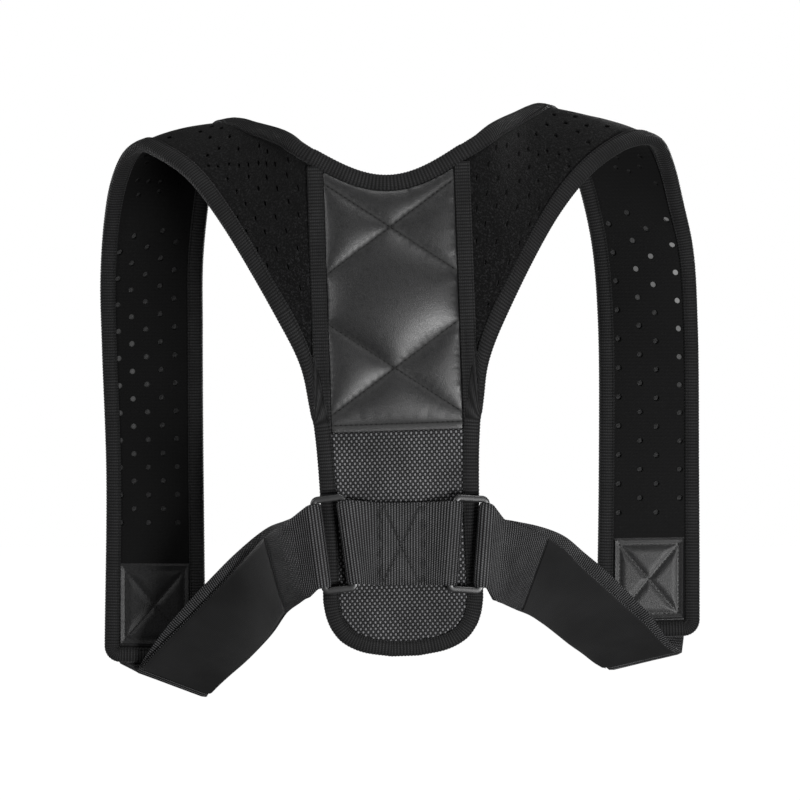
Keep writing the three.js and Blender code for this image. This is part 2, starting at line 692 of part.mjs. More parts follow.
function ring(frame) {
  const shape = roundedOutline(THREE.Shape, RING_WIDTH, RING_HEIGHT, RING_CORNER);
  const opening = [RING_WIDTH - 2 * RING_BAR, RING_HEIGHT - 2 * RING_BAR];
  shape.holes.push(roundedOutline(THREE.Path, ...opening, RING_CORNER / 4));
  const geometry = new THREE.ExtrudeGeometry(shape, {
    depth: RING_DEPTH - 2 * RING_BEVEL,
    bevelSize: RING_BEVEL,
    bevelOffset: -RING_BEVEL,
    bevelThickness: RING_BEVEL,
    bevelSegments: 1,
    curveSegments: 2,
  });
  geometry.translate(0, 0, RING_BEVEL - RING_DEPTH / 2);
  geometry.rotateX(Math.PI / 2);
  geometry.applyMatrix4(frame.turn);
  geometry.translate(...frame.centre);
  return geometry;
}

// Webbing half round a ring's bar with a straight lead at each end, from `first` to `last`:
// -1 lies against the panel and 1 on the outside
function barLoop(frame, barSide, first, last) {
  const bar = frame.centre.clone().addScaledVector(frame.outward, (barSide * (RING_WIDTH - RING_BAR)) / 2);
  const section = (across, out) => ({
    middle: bar.clone().addScaledVector(frame.outward, barSide * across).addScaledVector(frame.back, out),
    reach: frame.up.clone().multiplyScalar(WEB_WIDTH / 2),
  });
  const bend = Array.from({ length: LOOP_STEPS + 1 }, (_, i) => {
    const angle = mix(first, last, i / LOOP_STEPS) * (Math.PI / 2);
    return section(-Math.cos(angle) * LOOP_RADIUS, Math.sin(angle) * LOOP_RADIUS);
  });
  return [section(LOOP_LEAD, first * LOOP_RADIUS), ...bend, section(LOOP_LEAD, last * LOOP_RADIUS)];
}

// The webbing sewn across the panel: its front layer, both loops and its back layer
function centreWeb(frames) {
  const level = PANEL_TOP - WEB_DROP;
  const upright = new THREE.Vector3(0, 0, WEB_WIDTH / 2);
  const rear = CLOTH_FACE + FACING_THICK + CLEAR + WEB_THICK / 2;
  const front = rear + 2 * LAYER_STEP;
  const flat = (x, depth) => ({ middle: new THREE.Vector3(x, -depth, level), reach: upright.clone() });
  const [left, right] = frames;
  const half = STITCH_BLOCK / 2;
  return sectionGrid([
    flat(RING_SHIFT + CLEAR, front),
    flat(RING_SHIFT - half, front),
    ...barLoop(left, -1, 1, -1),
    flat(RING_SHIFT - half, rear),
    flat(RING_SHIFT, rear),
    flat(RING_SHIFT + half, rear),
    ...barLoop(right, -1, -1, 1),
    flat(RING_SHIFT + half, front),
    flat(RING_SHIFT + 3 * CLEAR, front),
  ], 3);
}

// The side strap's middle line between fold and ring, without its thickness
function sideRun(setting, frame) {
  const rows = setting.run.map((row) => tableSection(row, setting.side, WEB_WIDTH));
  const bar = frame.centre.clone().addScaledVector(frame.outward, (RING_WIDTH - RING_BAR) / 2);
  return smoothRun([...rows, { middle: bar, reach: frame.up.clone().multiplyScalar(WEB_WIDTH / 2) }]);
}

// Sections beside the run: `lift` away from the wearer, and `shift` along the band's width
function besideRun(sections, lift, shift = 0) {
  const normals = gridNormals(sectionGrid(sections, 3), BACKWARD);
  return sections.map(({ middle, reach }, i) => {
    const share = Math.sin((Math.PI * i) / (sections.length - 1));
    return {
      middle: middle.clone().addScaledVector(normals[i][1], lift)
        .addScaledVector(reach, (shift * share * 2) / WEB_WIDTH),
      reach,
    };
  });
}

// The sewn end lies on the far face of the strap's end and passes below it
function sewnSections(strap) {
  const end = strap.at(strap.length);
  const down = new THREE.Vector3().subVectors(end.middle, strap.at(strap.length - SEWN_LENGTH).middle).normalize();
  return [SEWN_LENGTH, SEWN_LENGTH / 2, 0, -SEWN_DROP].map((fromEnd) => ({
    middle: end.middle.clone().addScaledVector(down, -fromEnd).add(
      new THREE.Vector3(0, BINDING_FACE + CLEAR + WEB_THICK / 2, 0)),
    reach: end.reach.clone().setLength(WEB_WIDTH / 2),
  }));
}

// Sections of the run from `start`: first those under the hook tape, then bare webbing up to the ring
function bandSections(run, start) {
  const line = run.length - WOVEN_LENGTH;
  const taped = run.between(start, line, TAPED_SECTIONS);
  const woven = run.between(line, run.length - LOOP_RUNOUT, WOVEN_SECTIONS);
  return [...taped, ...woven.slice(1)];
}

// The whole side strap: sewn end, fold, far layer, loop round the ring, and the tail that lies back on it
function sideStrap(strap, run, frame) {
  const far = besideRun(bandSections(run, 0), -LAYER_STEP, FAR_SHIFT);
  const near = besideRun(bandSections(run, TAIL_GAP), LAYER_STEP).reverse();
  return sectionGrid([...sewnSections(strap), ...far, ...barLoop(frame, 1, -1, 1), ...near], BAND_POINTS);
}

function hookTape(run) {
  const lift = LAYER_STEP + WEB_THICK / 2 + CLEAR + HOOK_THICK / 2;
  const share = 1 - (2 * HOOK_INSET) / WEB_WIDTH;
  const taped = besideRun(bandSections(run, TAIL_GAP), lift).slice(0, TAPED_SECTIONS).reverse();
  const narrow = taped.map(({ middle, reach }) => ({ middle, reach: reach.clone().multiplyScalar(share) }));
  return sheet(sectionGrid(narrow, BAND_POINTS), -HOOK_THICK / 2, HOOK_THICK / 2);
}

// The square patch on the near face of a strap's end
function endPatch(strap) {
  const from = strap.length - PATCH_INSET - PATCH_LENGTH;
  const sections = strap.between(from, strap.length - PATCH_INSET, 6).map(({ middle, reach }) => ({
    middle: middle.clone().add(new THREE.Vector3(0, -(CLOTH_FACE + PATCH_THICK / 2), 0)),
    reach: reach.clone().setLength(PATCH_WIDTH / 2),
  }));
  return sheet(sectionGrid(sections, 3), -PATCH_THICK / 2, PATCH_THICK / 2, BACKWARD);
}

const brace = new THREE.Group();
brace.position.set(0, -SHOULDER_SET, -SHOULDER_RISE);

function add(name, finish, geometry) {
  const mesh = new THREE.Mesh(bowed(geometry), new THREE.MeshStandardMaterial(materials[finish]));
  mesh.name = name;
  brace.add(mesh);
}

const panel = panelGrid();
const straps = SIDES.map(strapRun);
const [leftStrap, rightStrap] = straps.map(strapGrid);
const cloth = [panel, leftStrap, rightStrap].flatMap(gridTriangles);
const frames = SIDES.map(ringFrame);

add('spine_panel', 'laminate', sheet(panel, -LAMINATE / 2, LAMINATE / 2));
add('leather_pad', 'leather', leatherPad());
add('nylon_facing', 'ballistic', nylonFacing());
add('neck_binding', 'binding', neckBinding(panel, leftStrap, rightStrap, cloth));
add('arm_binding', 'binding', armBinding(panel, leftStrap, rightStrap, cloth));
add('centre_web', 'webbing', sheet(centreWeb(frames), -WEB_THICK / 2, WEB_THICK / 2));

SIDES.forEach((setting, i) => {
  const { name, side } = setting;
  const run = sideRun(setting, frames[i]);
  add(`${name}_shoulder_strap`, 'laminate', shoulderStrap(straps[i]));
  add(`${name}_seam_tape`, 'binding', seamTape(side));
  add(`${name}_end_patch`, 'leather', endPatch(straps[i]));
  add(`${name}_ring`, 'plastic', ring(frames[i]));
  const band = sideStrap(straps[i], run, frames[i]);
  add(`${name}_side_strap`, 'webbing', sheet(band, -WEB_THICK / 2, WEB_THICK / 2, FORWARD));
  add(`${name}_hook_tape`, 'hook', hookTape(run));
});

export default brace;
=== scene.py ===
# %% [markdown]
# # A back support brace, dressed over its solids
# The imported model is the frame: it carries the shape, the size and the collision of the brace.
# This lesson builds the soft pieces that stand for those solids, so that the laminate, leather,
# webbing and knitted tape look like what they are. Everything is in metres, in the frame of the model.

# %% Load the frame
import json
import math

import bmesh
import bpy
import numpy as np
from mathutils import Matrix, Vector
from mathutils.geometry import delaunay_2d_cdt

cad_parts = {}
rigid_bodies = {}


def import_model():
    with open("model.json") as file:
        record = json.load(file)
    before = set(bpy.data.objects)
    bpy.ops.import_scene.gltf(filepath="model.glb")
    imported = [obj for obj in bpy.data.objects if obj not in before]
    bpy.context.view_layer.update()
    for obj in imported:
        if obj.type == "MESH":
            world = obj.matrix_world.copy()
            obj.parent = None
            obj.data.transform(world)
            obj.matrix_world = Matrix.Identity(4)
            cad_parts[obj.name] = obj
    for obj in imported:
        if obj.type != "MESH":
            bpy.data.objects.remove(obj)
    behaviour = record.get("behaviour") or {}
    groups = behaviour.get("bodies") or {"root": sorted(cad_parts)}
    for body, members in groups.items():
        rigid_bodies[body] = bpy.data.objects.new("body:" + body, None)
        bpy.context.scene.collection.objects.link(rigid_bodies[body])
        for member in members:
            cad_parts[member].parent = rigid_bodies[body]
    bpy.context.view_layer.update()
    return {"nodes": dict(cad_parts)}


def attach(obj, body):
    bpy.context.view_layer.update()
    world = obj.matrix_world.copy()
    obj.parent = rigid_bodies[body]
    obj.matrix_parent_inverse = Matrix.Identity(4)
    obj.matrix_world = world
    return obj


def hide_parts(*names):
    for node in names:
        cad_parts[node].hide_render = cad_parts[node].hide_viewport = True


for leftover in list(bpy.data.objects):
    bpy.data.objects.remove(leftover)
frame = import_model()
print("nodes of the frame:", sorted(frame["nodes"]))

# %% [markdown]
# ## Camera and light
# The camera stands straight behind the wearer, level with the middle of the back, so the brace is
# seen without tilt. A long lens keeps the far straps nearly as large as the back panel. White light
# from all round gives the plain white ground; two large soft lamps shape the dark leather, which
# shows its form only by its shine.

# %% Camera
MM = 0.001
camera_data = bpy.data.cameras.new("camera")
camera_data.sensor_width = 36
camera_data.lens = 95.9
camera = bpy.data.objects.new("camera", camera_data)
camera.location = (2.26 * MM, -1.37, -0.182)
camera.rotation_euler = (math.pi / 2, 0, 0)
bpy.context.scene.collection.objects.link(camera)
bpy.context.scene.camera = camera
print("camera stands", -camera.location.y, "m from the shoulders")


# %% Light
def soft_lamp(name, place, size, power):
    """A square area lamp that looks at the middle of the back."""
    data = bpy.data.lights.new(name, "AREA")
    data.energy = power
    data.size = size
    lamp = bpy.data.objects.new(name, data)
    lamp.location = place
    aim = Vector((0, -0.05, -0.2)) - Vector(place)
    lamp.rotation_euler = aim.to_track_quat("-Z", "Y").to_euler()
    bpy.context.scene.collection.objects.link(lamp)
    return lamp


def white_room(glow):
    """A world that is seen as white but lights the brace only faintly, as a dark studio with a lit wall does."""
    world = bpy.data.worlds.new("white_room")
    world.use_nodes = True
    tree = world.node_tree
    wall = tree.nodes["Background"]
    wall.inputs["Color"].default_value = (1, 1, 1, 1)
    room = tree.nodes.new("ShaderNodeBackground")
    room.inputs["Strength"].default_value = glow
    seen = tree.nodes.new("ShaderNodeLightPath")
    choice = tree.nodes.new("ShaderNodeMixShader")
    tree.links.new(seen.outputs["Is Camera Ray"], choice.inputs[0])
    tree.links.new(room.outputs[0], choice.inputs[1])
    tree.links.new(wall.outputs[0], choice.inputs[2])
    tree.links.new(choice.outputs[0], tree.nodes["World Output"].inputs["Surface"])
    return world


lamps = [
    soft_lamp("key_lamp", (0.7, -1.35, -0.65), 0.4, 24),
    soft_lamp("side_lamp", (-1.3, -0.9, 0.2), 0.5, 7),
    soft_lamp("top_lamp", (0.2, -0.7, 1.2), 0.6, 8),
    soft_lamp("chest_lamp", (0.9, 1.5, 0.35), 0.7, 30),
    soft_lamp("chest_fill", (-1.2, 1.2, -0.1), 0.9, 14),
]
bpy.context.scene.world = white_room(0.13)
bpy.context.scene.view_settings.view_transform = "Standard"
print("lamps:", [lamp.name for lamp in lamps])

# %% [markdown]
# ## Node trees written as sums
# A finish is easier to read as arithmetic than as a list of links. One small class wraps a socket,
# so that `1 - mask * 0.3` adds the Math nodes by itself, and one method adds every other node.
# The same two classes write the shader trees and the Geometry Nodes trees.


# %% A wire and a graph
class Wire:
    """The output of a node, on which sums can be done."""

    def __init__(self, graph, socket):
        self.graph = graph
        self.socket = socket

    def maths(self, operation, first, second):
        return self.graph.node("ShaderNodeMath", {"operation": operation}, {0: first, 1: second})

    def __add__(self, other):
        return self.maths("ADD", self, other)

    def __sub__(self, other):
        return self.maths("SUBTRACT", self, other)

    def __rsub__(self, other):
        return self.maths("SUBTRACT", other, self)

    def __mul__(self, other):
        return self.maths("MULTIPLY", self, other)

    def __truediv__(self, other):
        return self.maths("DIVIDE", self, other)

    def __abs__(self):
        return self.maths("ABSOLUTE", self, 0)

    def __pow__(self, other):
        return self.maths("POWER", self, other)

    def sine(self):
        return self.maths("SINE", self, 0)

    __radd__ = __add__
    __rmul__ = __mul__


class Graph:
    """A node tree, filled node by node."""

    def __init__(self, tree):
        self.tree = tree

    def node(self, kind, settings=None, inputs=None, output=0):
        made = self.tree.nodes.new(kind)
        for name, value in (settings or {}).items():
            if name == "stops":
                self.set_stops(made.color_ramp, value)
            else:
                setattr(made, name, value)
        for key_, value in (inputs or {}).items():
            if isinstance(value, Wire):
                self.tree.links.new(value.socket, made.inputs[key_])
            else:
                made.inputs[key_].default_value = value
        return Wire(self, made.outputs[output]) if made.outputs else None

    @staticmethod
    def set_stops(ramp, stops):
        while len(ramp.elements) < len(stops):
            ramp.elements.new(0.5)
        for element, (position, level) in zip(ramp.elements, stops):
            element.position = position
            element.color = (level, level, level, 1)


print("a graph writes shader trees and geometry trees alike")

# %% [markdown]
# ## The shape of the brace
# The tables below say where each section of the straps lies. They are the same tables that the
# solids were made from, so every soft piece sits where its solid is. A smooth curve through the
# sections gives a surface that can be read at any distance along the strap and any place across it.

# %% Sizes of the brace
HALF_SPAN = 200 * MM
STRAP_DEPTH = 150 * MM
SHOULDER_RISE = 182 * MM
SHOULDER_SET = 70 * MM
BACK_BOW = 10 * MM
PANEL_LEAN = math.radians(2)
LAMINATE = 4 * MM
CLEAR = 0.3 * MM
STRAP_WIDTH = 68 * MM
STRAP_CORNER = 9 * MM
PANEL_TOP = 155.5 * MM
PANEL_WIDTH = 102.5 * MM
PANEL_HEIGHT = 312.5 * MM
FOOT_ROUND = 35 * MM
NECK_DIP = 17.5 * MM
SEAM_SPACING = 90 * MM
SEAM_FOOT = 164 * MM
SEAM_GAP = 0.9 * MM
BINDING_WIDTH = 8 * MM
BINDING_EDGE = 1.7 * MM
BINDING_FACE = 3.7 * MM
WEB_WIDTH = 50 * MM
WEB_THICK = 1.8 * MM
print("the panel is", PANEL_HEIGHT, "m high")

# %% Tables of the sections
COLUMNS = ("out", "forward", "up", "wide", "lean", "swing", "arch")
LEFT_STRAP = [
    (0.29, 0.012, 0.49, 2.06, 91, -2, 0),
    (0.35, 0.06, 0.594, 1.73, 88, -6, 0.01),
    (0.5, 0.27, 0.796, 1.08, 72, -22, 0.02),
    (0.58, 0.38, 0.884, 0.9, 50, -31, 0.03),
    (0.65, 0.49, 0.93, 0.92, 29, -31, 0.05),
    (0.7, 0.58, 0.945, 0.95, 17, -25, 0.06),
    (0.74, 0.67, 0.92, 1.01, 15, -19, 0.06),
    (0.78, 0.78, 0.835, 1.05, 15, -13, 0.05),
    (0.81, 0.88, 0.69, 1.05, 12, -7, 0.03),
    (0.83, 0.95, 0.485, 1.03, 9, -2, 0.01),
    (0.83, 0.98, 0.23, 1.01, 4, 0, 0),
    (0.82, 0.97, -0.3, 0.97, 1, 0, 0),
    (0.82, 0.92, -0.97, 1.01, -1, 0, 0),
]
RIGHT_STRAP = [
    (0.262, 0.012, 0.51, 2.08, 88, -2, 0),
    (0.315, 0.055, 0.617, 1.75, 86, -5, 0.01),
    (0.44, 0.24, 0.818, 1.11, 70, -15, 0.02),
    (0.52, 0.34, 0.911, 0.92, 47, -17, 0.04),
    (0.595, 0.44, 0.965, 0.96, 27, -14, 0.07),
    (0.645, 0.52, 0.975, 1.02, 17, -11, 0.07),
    (0.697, 0.62, 0.965, 1.07, 13, -8, 0.07),
    (0.743, 0.75, 0.888, 1.08, 11, -6, 0.055),
    (0.787, 0.86, 0.769, 1.06, 12, -4, 0.03),
    (0.833, 0.945, 0.573, 1.02, 6, -2, 0.01),
    (0.853, 0.98, 0.293, 1, 4, 0, 0),
    (0.856, 0.97, -0.26, 1, 0, 0, 0),
    (0.853, 0.93, -0.875, 1.03, -2, 0, 0),
]
LEFT_RUN = [
    (0.765, 0.89, -1.064, 0, -21, 0, 0),
    (0.72, 0.83, -1.008, 0, -23, -7, 0),
    (0.662, 0.76, -0.942, 0, -31, -15, 0),
    (0.587, 0.65, -0.862, 0, -44, -19, 0),
    (0.514, 0.53, -0.78, 0, -56, -17, 0),
    (0.44, 0.38, -0.69, 0, -66, -8, 0),
    (0.37, 0.19, -0.598, 0, -75, -3, 0),
    (0.318, 0.03, -0.55, 0, -78, -2, 0),
    (0.275, -0.045, -0.516, 0, -81, 0, 0),
]
RIGHT_RUN = [
    (0.845, 0.89, -0.978, 0, -14, 0, 0),
    (0.788, 0.84, -0.935, 0, -16, -13, 0),
    (0.722, 0.74, -0.866, 0, -28, -22, 0),
    (0.653, 0.63, -0.802, 0, -42, -27, 0),
    (0.586, 0.51, -0.737, 0, -52, -27, 0),
    (0.526, 0.39, -0.68, 0, -61, -24, 0),
    (0.467, 0.26, -0.624, 0, -66, -14, 0),
    (0.402, 0.12, -0.582, 0, -73, -4, 0),
    (0.343, 0.01, -0.55, 0, -81, -2, 0),
    (0.302, -0.045, -0.528, 0, -85, 0, 0),
]
WAIST_PROFILE = [(0, 1), (0.2, 0.965), (0.45, 0.945), (0.7, 0.945), (1, 0.955)]
FOOT_PROFILE = [(0, 1), (0.16, 0.985), (0.32, 0.96), (0.52, 0.9), (0.74, 0.77), (0.91, 0.53), (1, 0.18)]
print(len(LEFT_STRAP), "sections shape each shoulder strap")


# %% Smooth curves through sections
def through(points, shares):
    """Points at `shares` of a smooth curve whose knots are spaced by the square root of their distance."""
    points = np.asarray(points, float) / MM
    ends = [2 * points[0] - points[1], 2 * points[-1] - points[-2]]
    knots = np.vstack([ends[:1], points, ends[1:]])
    position = np.asarray(shares) * (len(points) - 1)
    first = np.clip(np.floor(position).astype(int), 0, len(points) - 2)
    part = (position - first)[:, None]
    a, b, c, d = (knots[first + k] for k in range(4))
    gaps = [np.sqrt(np.linalg.norm(q - p, axis=1))[:, None] for p, q in ((a, b), (b, c), (c, d))]
    middle = np.where(gaps[1] < 1e-4, 1.0, gaps[1])
    before = np.where(gaps[0] < 1e-4, middle, gaps[0])
    after = np.where(gaps[2] < 1e-4, middle, gaps[2])
    leave = ((b - a) / before - (c - a) / (before + middle) + (c - b) / middle) * middle
    reach = ((c - b) / middle - (d - b) / (middle + after) + (d - c) / after) * middle
    cubic = 2 * b - 2 * c + leave + reach
    square = -3 * b + 3 * c - 2 * leave - reach
    return (b + part * (leave + part * (square + part * cubic))) * MM


def table_section(row, side, width):
    """Middle, half-width vector and arch of a table's row."""
    out, forward, up, wide, lean, swing, arch = row
    lean, swing = math.radians(lean), math.radians(swing)
    middle = (side * out * HALF_SPAN, forward * STRAP_DEPTH, up * SHOULDER_RISE)
    reach = (side * math.cos(lean) * math.cos(swing), math.sin(swing), -math.sin(lean) * math.cos(swing))
    return np.array(middle), np.array(reach) * width / 2, arch * STRAP_WIDTH


class Run:
    """A band through sections, read by the distance along its middle."""

    def __init__(self, sections):
        self.middles, self.reaches, arches = zip(*sections)
        self.arches = [(arch, 0, 0) for arch in arches]
        self.shares = np.linspace(0, 1, 201)
        line = through(self.middles, self.shares)
        steps = np.linalg.norm(np.diff(line, axis=0), axis=1)
        self.distances = np.concatenate([[0], np.cumsum(steps)])
        self.length = self.distances[-1]

    def at(self, distances):
        shares = np.interp(distances, self.distances, self.shares)
        arch = through(self.arches, shares)[:, 0]
        return through(self.middles, shares), through(self.reaches, shares), arch


# %% [markdown]
# Cloth is easiest to cut flat. A `Cloth` remembers a fine grid of points and normals, so that a
# flat pattern in metres along and across can be laid on the curved surface of the strap or panel.


# %% Cloth surfaces
def unit(vectors):
    return vectors / np.maximum(np.linalg.norm(vectors, axis=-1, keepdims=True), 1e-12)


def bowed(points):
    """The brace curves forward above and below the middle of the back, and is set at the shoulders."""
    points = np.array(points, float)
    points[..., 1] += BACK_BOW * (points[..., 2] / SHOULDER_RISE) ** 2 - SHOULDER_SET
    points[..., 2] -= SHOULDER_RISE
    return points


def on_back(x, y, z):
    """A point of the upright back panel, turned by the panel's lean."""
    lean = -PANEL_LEAN
    return np.stack([x * math.cos(lean) + z * math.sin(lean), y + 0 * x, z * math.cos(lean) - x * math.sin(lean)], -1)


class Cloth:
    """A surface known on a fine grid; `along` and `across` are its flat coordinates in metres."""

    def __init__(self, along, across, points, toward=(0, -1, 0)):
        self.along, self.across = along, across
        self.points = bowed(points)
        lengthwise = np.gradient(self.points, axis=0)
        crosswise = np.gradient(self.points, axis=1)
        self.normals = unit(np.cross(lengthwise, crosswise))
        if self.normals[0, self.normals.shape[1] // 2] @ np.array(toward) < 0:
            self.normals = -self.normals

    def read(self, grid, a, b):
        row = np.clip(np.interp(a, self.along, np.arange(len(self.along))), 0, len(self.along) - 1.001)
        column = np.clip(np.interp(b, self.across, np.arange(len(self.across))), 0, len(self.across) - 1.001)
        r, c = row.astype(int), column.astype(int)
        p, q = (row - r)[..., None], (column - c)[..., None]
        near = grid[r, c] * (1 - q) + grid[r, c + 1] * q
        far = grid[r + 1, c] * (1 - q) + grid[r + 1, c + 1] * q
        return near * (1 - p) + far * p

    def at(self, a, b, level=0.0):
        place = self.read(self.points, a, b)
        normal = unit(self.read(self.normals, a, b))
        return place + normal * np.broadcast_to(level, np.shape(a))[..., None]

    def normal(self, a, b):
        return unit(self.read(self.normals, a, b))


class BandCloth(Cloth):
    """The surface of a run: `across` goes from -1 to 1 over the run's width."""

    def __init__(self, run, toward=(0, -1, 0), step=1.2 * MM, columns=25):
        rows = int(run.length / step)
        along = np.linspace(0, run.length, rows)
        across = np.linspace(-1, 1, columns)
        middle, reach, arch = run.at(along)
        flat = middle[:, None] + reach[:, None] * across[None, :, None]
        normal = unit(np.cross(np.gradient(flat, axis=0), np.gradient(flat, axis=1)))
        if normal[0, columns // 2] @ np.array([0, -1, 0]) < 0:
            normal = -normal
        flat = flat + normal * (arch[:, None] * (1 - across[None, :] ** 2))[..., None]
        self.run = run
        self.half = np.linalg.norm(reach, axis=1)
        super().__init__(along, across, flat, toward)

    def half_at(self, a):
        return np.interp(a, self.along, self.half)


# %% The neck, waist and foot of the panel
def neck_edge(x):
    return PANEL_TOP - BINDING_EDGE - NECK_DIP * np.cos(np.pi * x / SEAM_SPACING)


def uniform_curve(knots, count):
    """Evenly spread points of a curve whose knots are equally far apart in its parameter."""
    knots = np.asarray(knots, float)
    padded = np.vstack([2 * knots[0] - knots[1], knots, 2 * knots[-1] - knots[-2]])
    position = np.linspace(0, 1, 400) * (len(knots) - 1)
    first = np.clip(np.floor(position).astype(int), 0, len(knots) - 2)
    t = (position - first)[:, None]
    a, b, c, d = (padded[first + k] for k in range(4))
    line = b + 0.5 * t * (c - a + t * (2 * a - 5 * b + 4 * c - d + t * (3 * (b - c) + d - a)))
    distance = np.concatenate([[0], np.cumsum(np.linalg.norm(np.diff(line, axis=0), axis=1))])
    wanted = np.linspace(0, distance[-1], count)
    return np.stack([np.interp(wanted, distance, line[:, k]) for k in range(2)], 1)


def waist_outline(inset, count=60):
    top = PANEL_TOP - SEAM_FOOT
    height = PANEL_HEIGHT - SEAM_FOOT - FOOT_ROUND
    return uniform_curve([(half * PANEL_WIDTH / 2 - inset, top - down * height) for down, half in WAIST_PROFILE], count)


def foot_outline(inset, count=60):
    x, z = waist_outline(inset)[-1]
    return uniform_curve([(half * x, z - fall * (FOOT_ROUND - inset)) for fall, half in FOOT_PROFILE], count)


panel_x = np.linspace(-60 * MM, 60 * MM, 61)
panel_z = np.linspace(PANEL_TOP - PANEL_HEIGHT - 5 * MM, PANEL_TOP + 5 * MM, 161)
grid_x, grid_z = np.meshgrid(panel_x, panel_z)
panel = Cloth(panel_z, panel_x, on_back(grid_x, 0, grid_z))
print("the panel's foot lies at", round(float(foot_outline(0)[-1][1]), 4))


# %% The runs of the straps
def seam_section(side):
    top = on_back(np.array(side * (SEAM_SPACING / 2 + SEAM_GAP)), 0, np.array(PANEL_TOP - BINDING_EDGE))
    foot = on_back(
        np.array(side * (PANEL_WIDTH / 2 - BINDING_EDGE + SEAM_GAP)), 0, np.array(PANEL_TOP - SEAM_FOOT))
    return (top + foot) / 2, (foot - top) / 2, 0.0


def strap_run(side, table):
    rows = [table_section(row, side, row[3] * STRAP_WIDTH - 2 * BINDING_EDGE) for row in table]
    return Run([seam_section(side), *rows])


SIDES = {"left": -1, "right": 1}
strap_cloth = {
    "left": BandCloth(strap_run(-1, LEFT_STRAP)),
    "right": BandCloth(strap_run(1, RIGHT_STRAP)),
}
for name_, cloth in strap_cloth.items():
    print(name_, "strap is", round(cloth.run.length * 1000), "mm long")

# %% [markdown]
# ## Making and finishing meshes
# Every piece ends as one plain mesh whose object stands at the origin. A piece keeps a UV map named
# `cloth` with its flat pattern in metres, so that a weave or a grain has its true scale and bends
# with the surface. Shading is smooth, but cut edges stay crisp.

# %% Meshes
collection = bpy.context.scene.collection


def volume_sign(points, faces):
    quads = np.array([face[:3] for face in faces])
    a, b, c = points[quads[:, 0]], points[quads[:, 1]], points[quads[:, 2]]
    return np.einsum("ij,ij->i", a - points.mean(0), np.cross(b, c) - np.cross(points.mean(0), b + c)).sum()


def make_mesh(name, points, faces, uv=None, sharp=40, smooth=True):
    """An object from points and faces, with its flat pattern as UVs."""
    mesh = bpy.data.meshes.new(name)
    mesh.from_pydata(np.asarray(points).tolist(), [], faces)
    mesh.update()
    if uv is not None:
        layer = mesh.uv_layers.new(name="cloth")
        loops = np.empty(len(mesh.loops), np.int32)
        mesh.loops.foreach_get("vertex_index", loops)
        layer.data.foreach_set("uv", np.asarray(uv, float)[loops].ravel())
    if smooth:
        mesh.shade_smooth()
        mesh.set_sharp_from_angle(angle=math.radians(sharp))
    piece = bpy.data.objects.new(name, mesh)
    collection.objects.link(piece)
    return piece


def face_outward(piece):
    """Turns the faces of a closed mesh outward."""
    work = bmesh.new()
    work.from_mesh(piece.data)
    bmesh.ops.recalc_face_normals(work, faces=work.faces)
    if work.calc_volume(signed=True) < 0:
        bmesh.ops.reverse_faces(work, faces=work.faces)
    work.to_mesh(piece.data)
    work.free()
    return piece


def swept(name, rings, uv=None, closed=False, sharp=50):
    """A solid through rings of points, all with the same count."""
    count, size = rings.shape[:2]
    index = np.arange(count * size).reshape(count, size)
    here, there = (index, np.roll(index, -1, 0)) if closed else (index[:-1], index[1:])
    quads = np.stack([here, there, np.roll(there, -1, 1), np.roll(here, -1, 1)], -1).reshape(-1, 4).tolist()
    if not closed:
        quads += [index[0].tolist(), index[-1][::-1].tolist()]
    piece = make_mesh(name, rings.reshape(-1, 3), quads, uv, sharp)
    return face_outward(piece)


def report(piece):
    triangles = sum(len(polygon.vertices) - 2 for polygon in piece.data.polygons)
    print(f"{piece.name}: {triangles} triangles")
    return triangles


def rolling_mean(values, reach):
    """Smooths a row of points or directions along its length."""
    if reach < 1:
        return values
    kernel = np.hanning(2 * reach + 3)[1:-1]
    kernel /= kernel.sum()
    flat = values.reshape(len(values), -1)
    padded = np.vstack([np.repeat(flat[:1], reach, 0), flat, np.repeat(flat[-1:], reach, 0)])
    out = np.stack([np.convolve(padded[:, k], kernel, "valid") for k in range(flat.shape[1])], 1)
    return out.reshape(values.shape)


# %% [markdown]
# ## Finishes
# All of the brace is black, so its materials are told apart by how they shine: the fuzzy loop cloth
# of the straps drinks the light, the knitted tapes glow a little on their ribs, the coated leather
# has a soft broad shine, and the nylon weave sparkles on its knuckles. Much of the glow on the ribs
# and the sparkle on the knuckles is painted into the colour, as painted highlight on the crests and
# painted shade in the hollows of the weave. Each finish is a Principled shader whose roughness,
# colour and bump follow the cloth's own UVs or the object's coordinates.


# %% The start of every finish
class Finish(Graph):
    """A Principled material with constant values on its own sockets."""

    def __init__(self, name, **constants):
        self.material = bpy.data.materials.new(name)
        self.material.use_nodes = True
        super().__init__(self.material.node_tree)
        self.shader = self.tree.nodes["Principled BSDF"]
        for socket, value in constants.items():
            self.shader.inputs[socket.replace("_", " ")].default_value = value

    def cloth_place(self):
        return self.node("ShaderNodeUVMap", {"uv_map": "cloth"})

    def object_place(self):
        return self.node("ShaderNodeTexCoord", output=3)

    def noise(self, place, scale, detail=3.0, roughness=0.6):
        inputs = {"Vector": place, "Scale": scale, "Detail": detail, "Roughness": roughness}
        return self.node("ShaderNodeTexNoise", {}, inputs, 0)

    def split(self, place):
        axes = self.node("ShaderNodeSeparateXYZ", {}, {0: place})
        return [Wire(self, axes.socket.node.outputs[k]) for k in range(3)]

    def colour(self, amount, dark, light):
        inputs = {0: amount, 6: (*dark, 1), 7: (*light, 1)}
        return self.node("ShaderNodeMix", {"data_type": "RGBA"}, inputs, 2)

    def finish(self, base=None, roughness=None, height=None, depth=0.0, coat=None):
        if base is not None:
            self.tree.links.new(base.socket, self.shader.inputs["Base Color"])
        if roughness is not None:
            self.tree.links.new(roughness.socket, self.shader.inputs["Roughness"])
        if coat is not None:
            self.tree.links.new(coat.socket, self.shader.inputs["Coat Weight"])
        if height is not None:
            bump = self.node("ShaderNodeBump", {}, {"Height": height, "Distance": depth, "Strength": 1.0})
            self.tree.links.new(bump.socket, self.shader.inputs["Normal"])
        return self.material


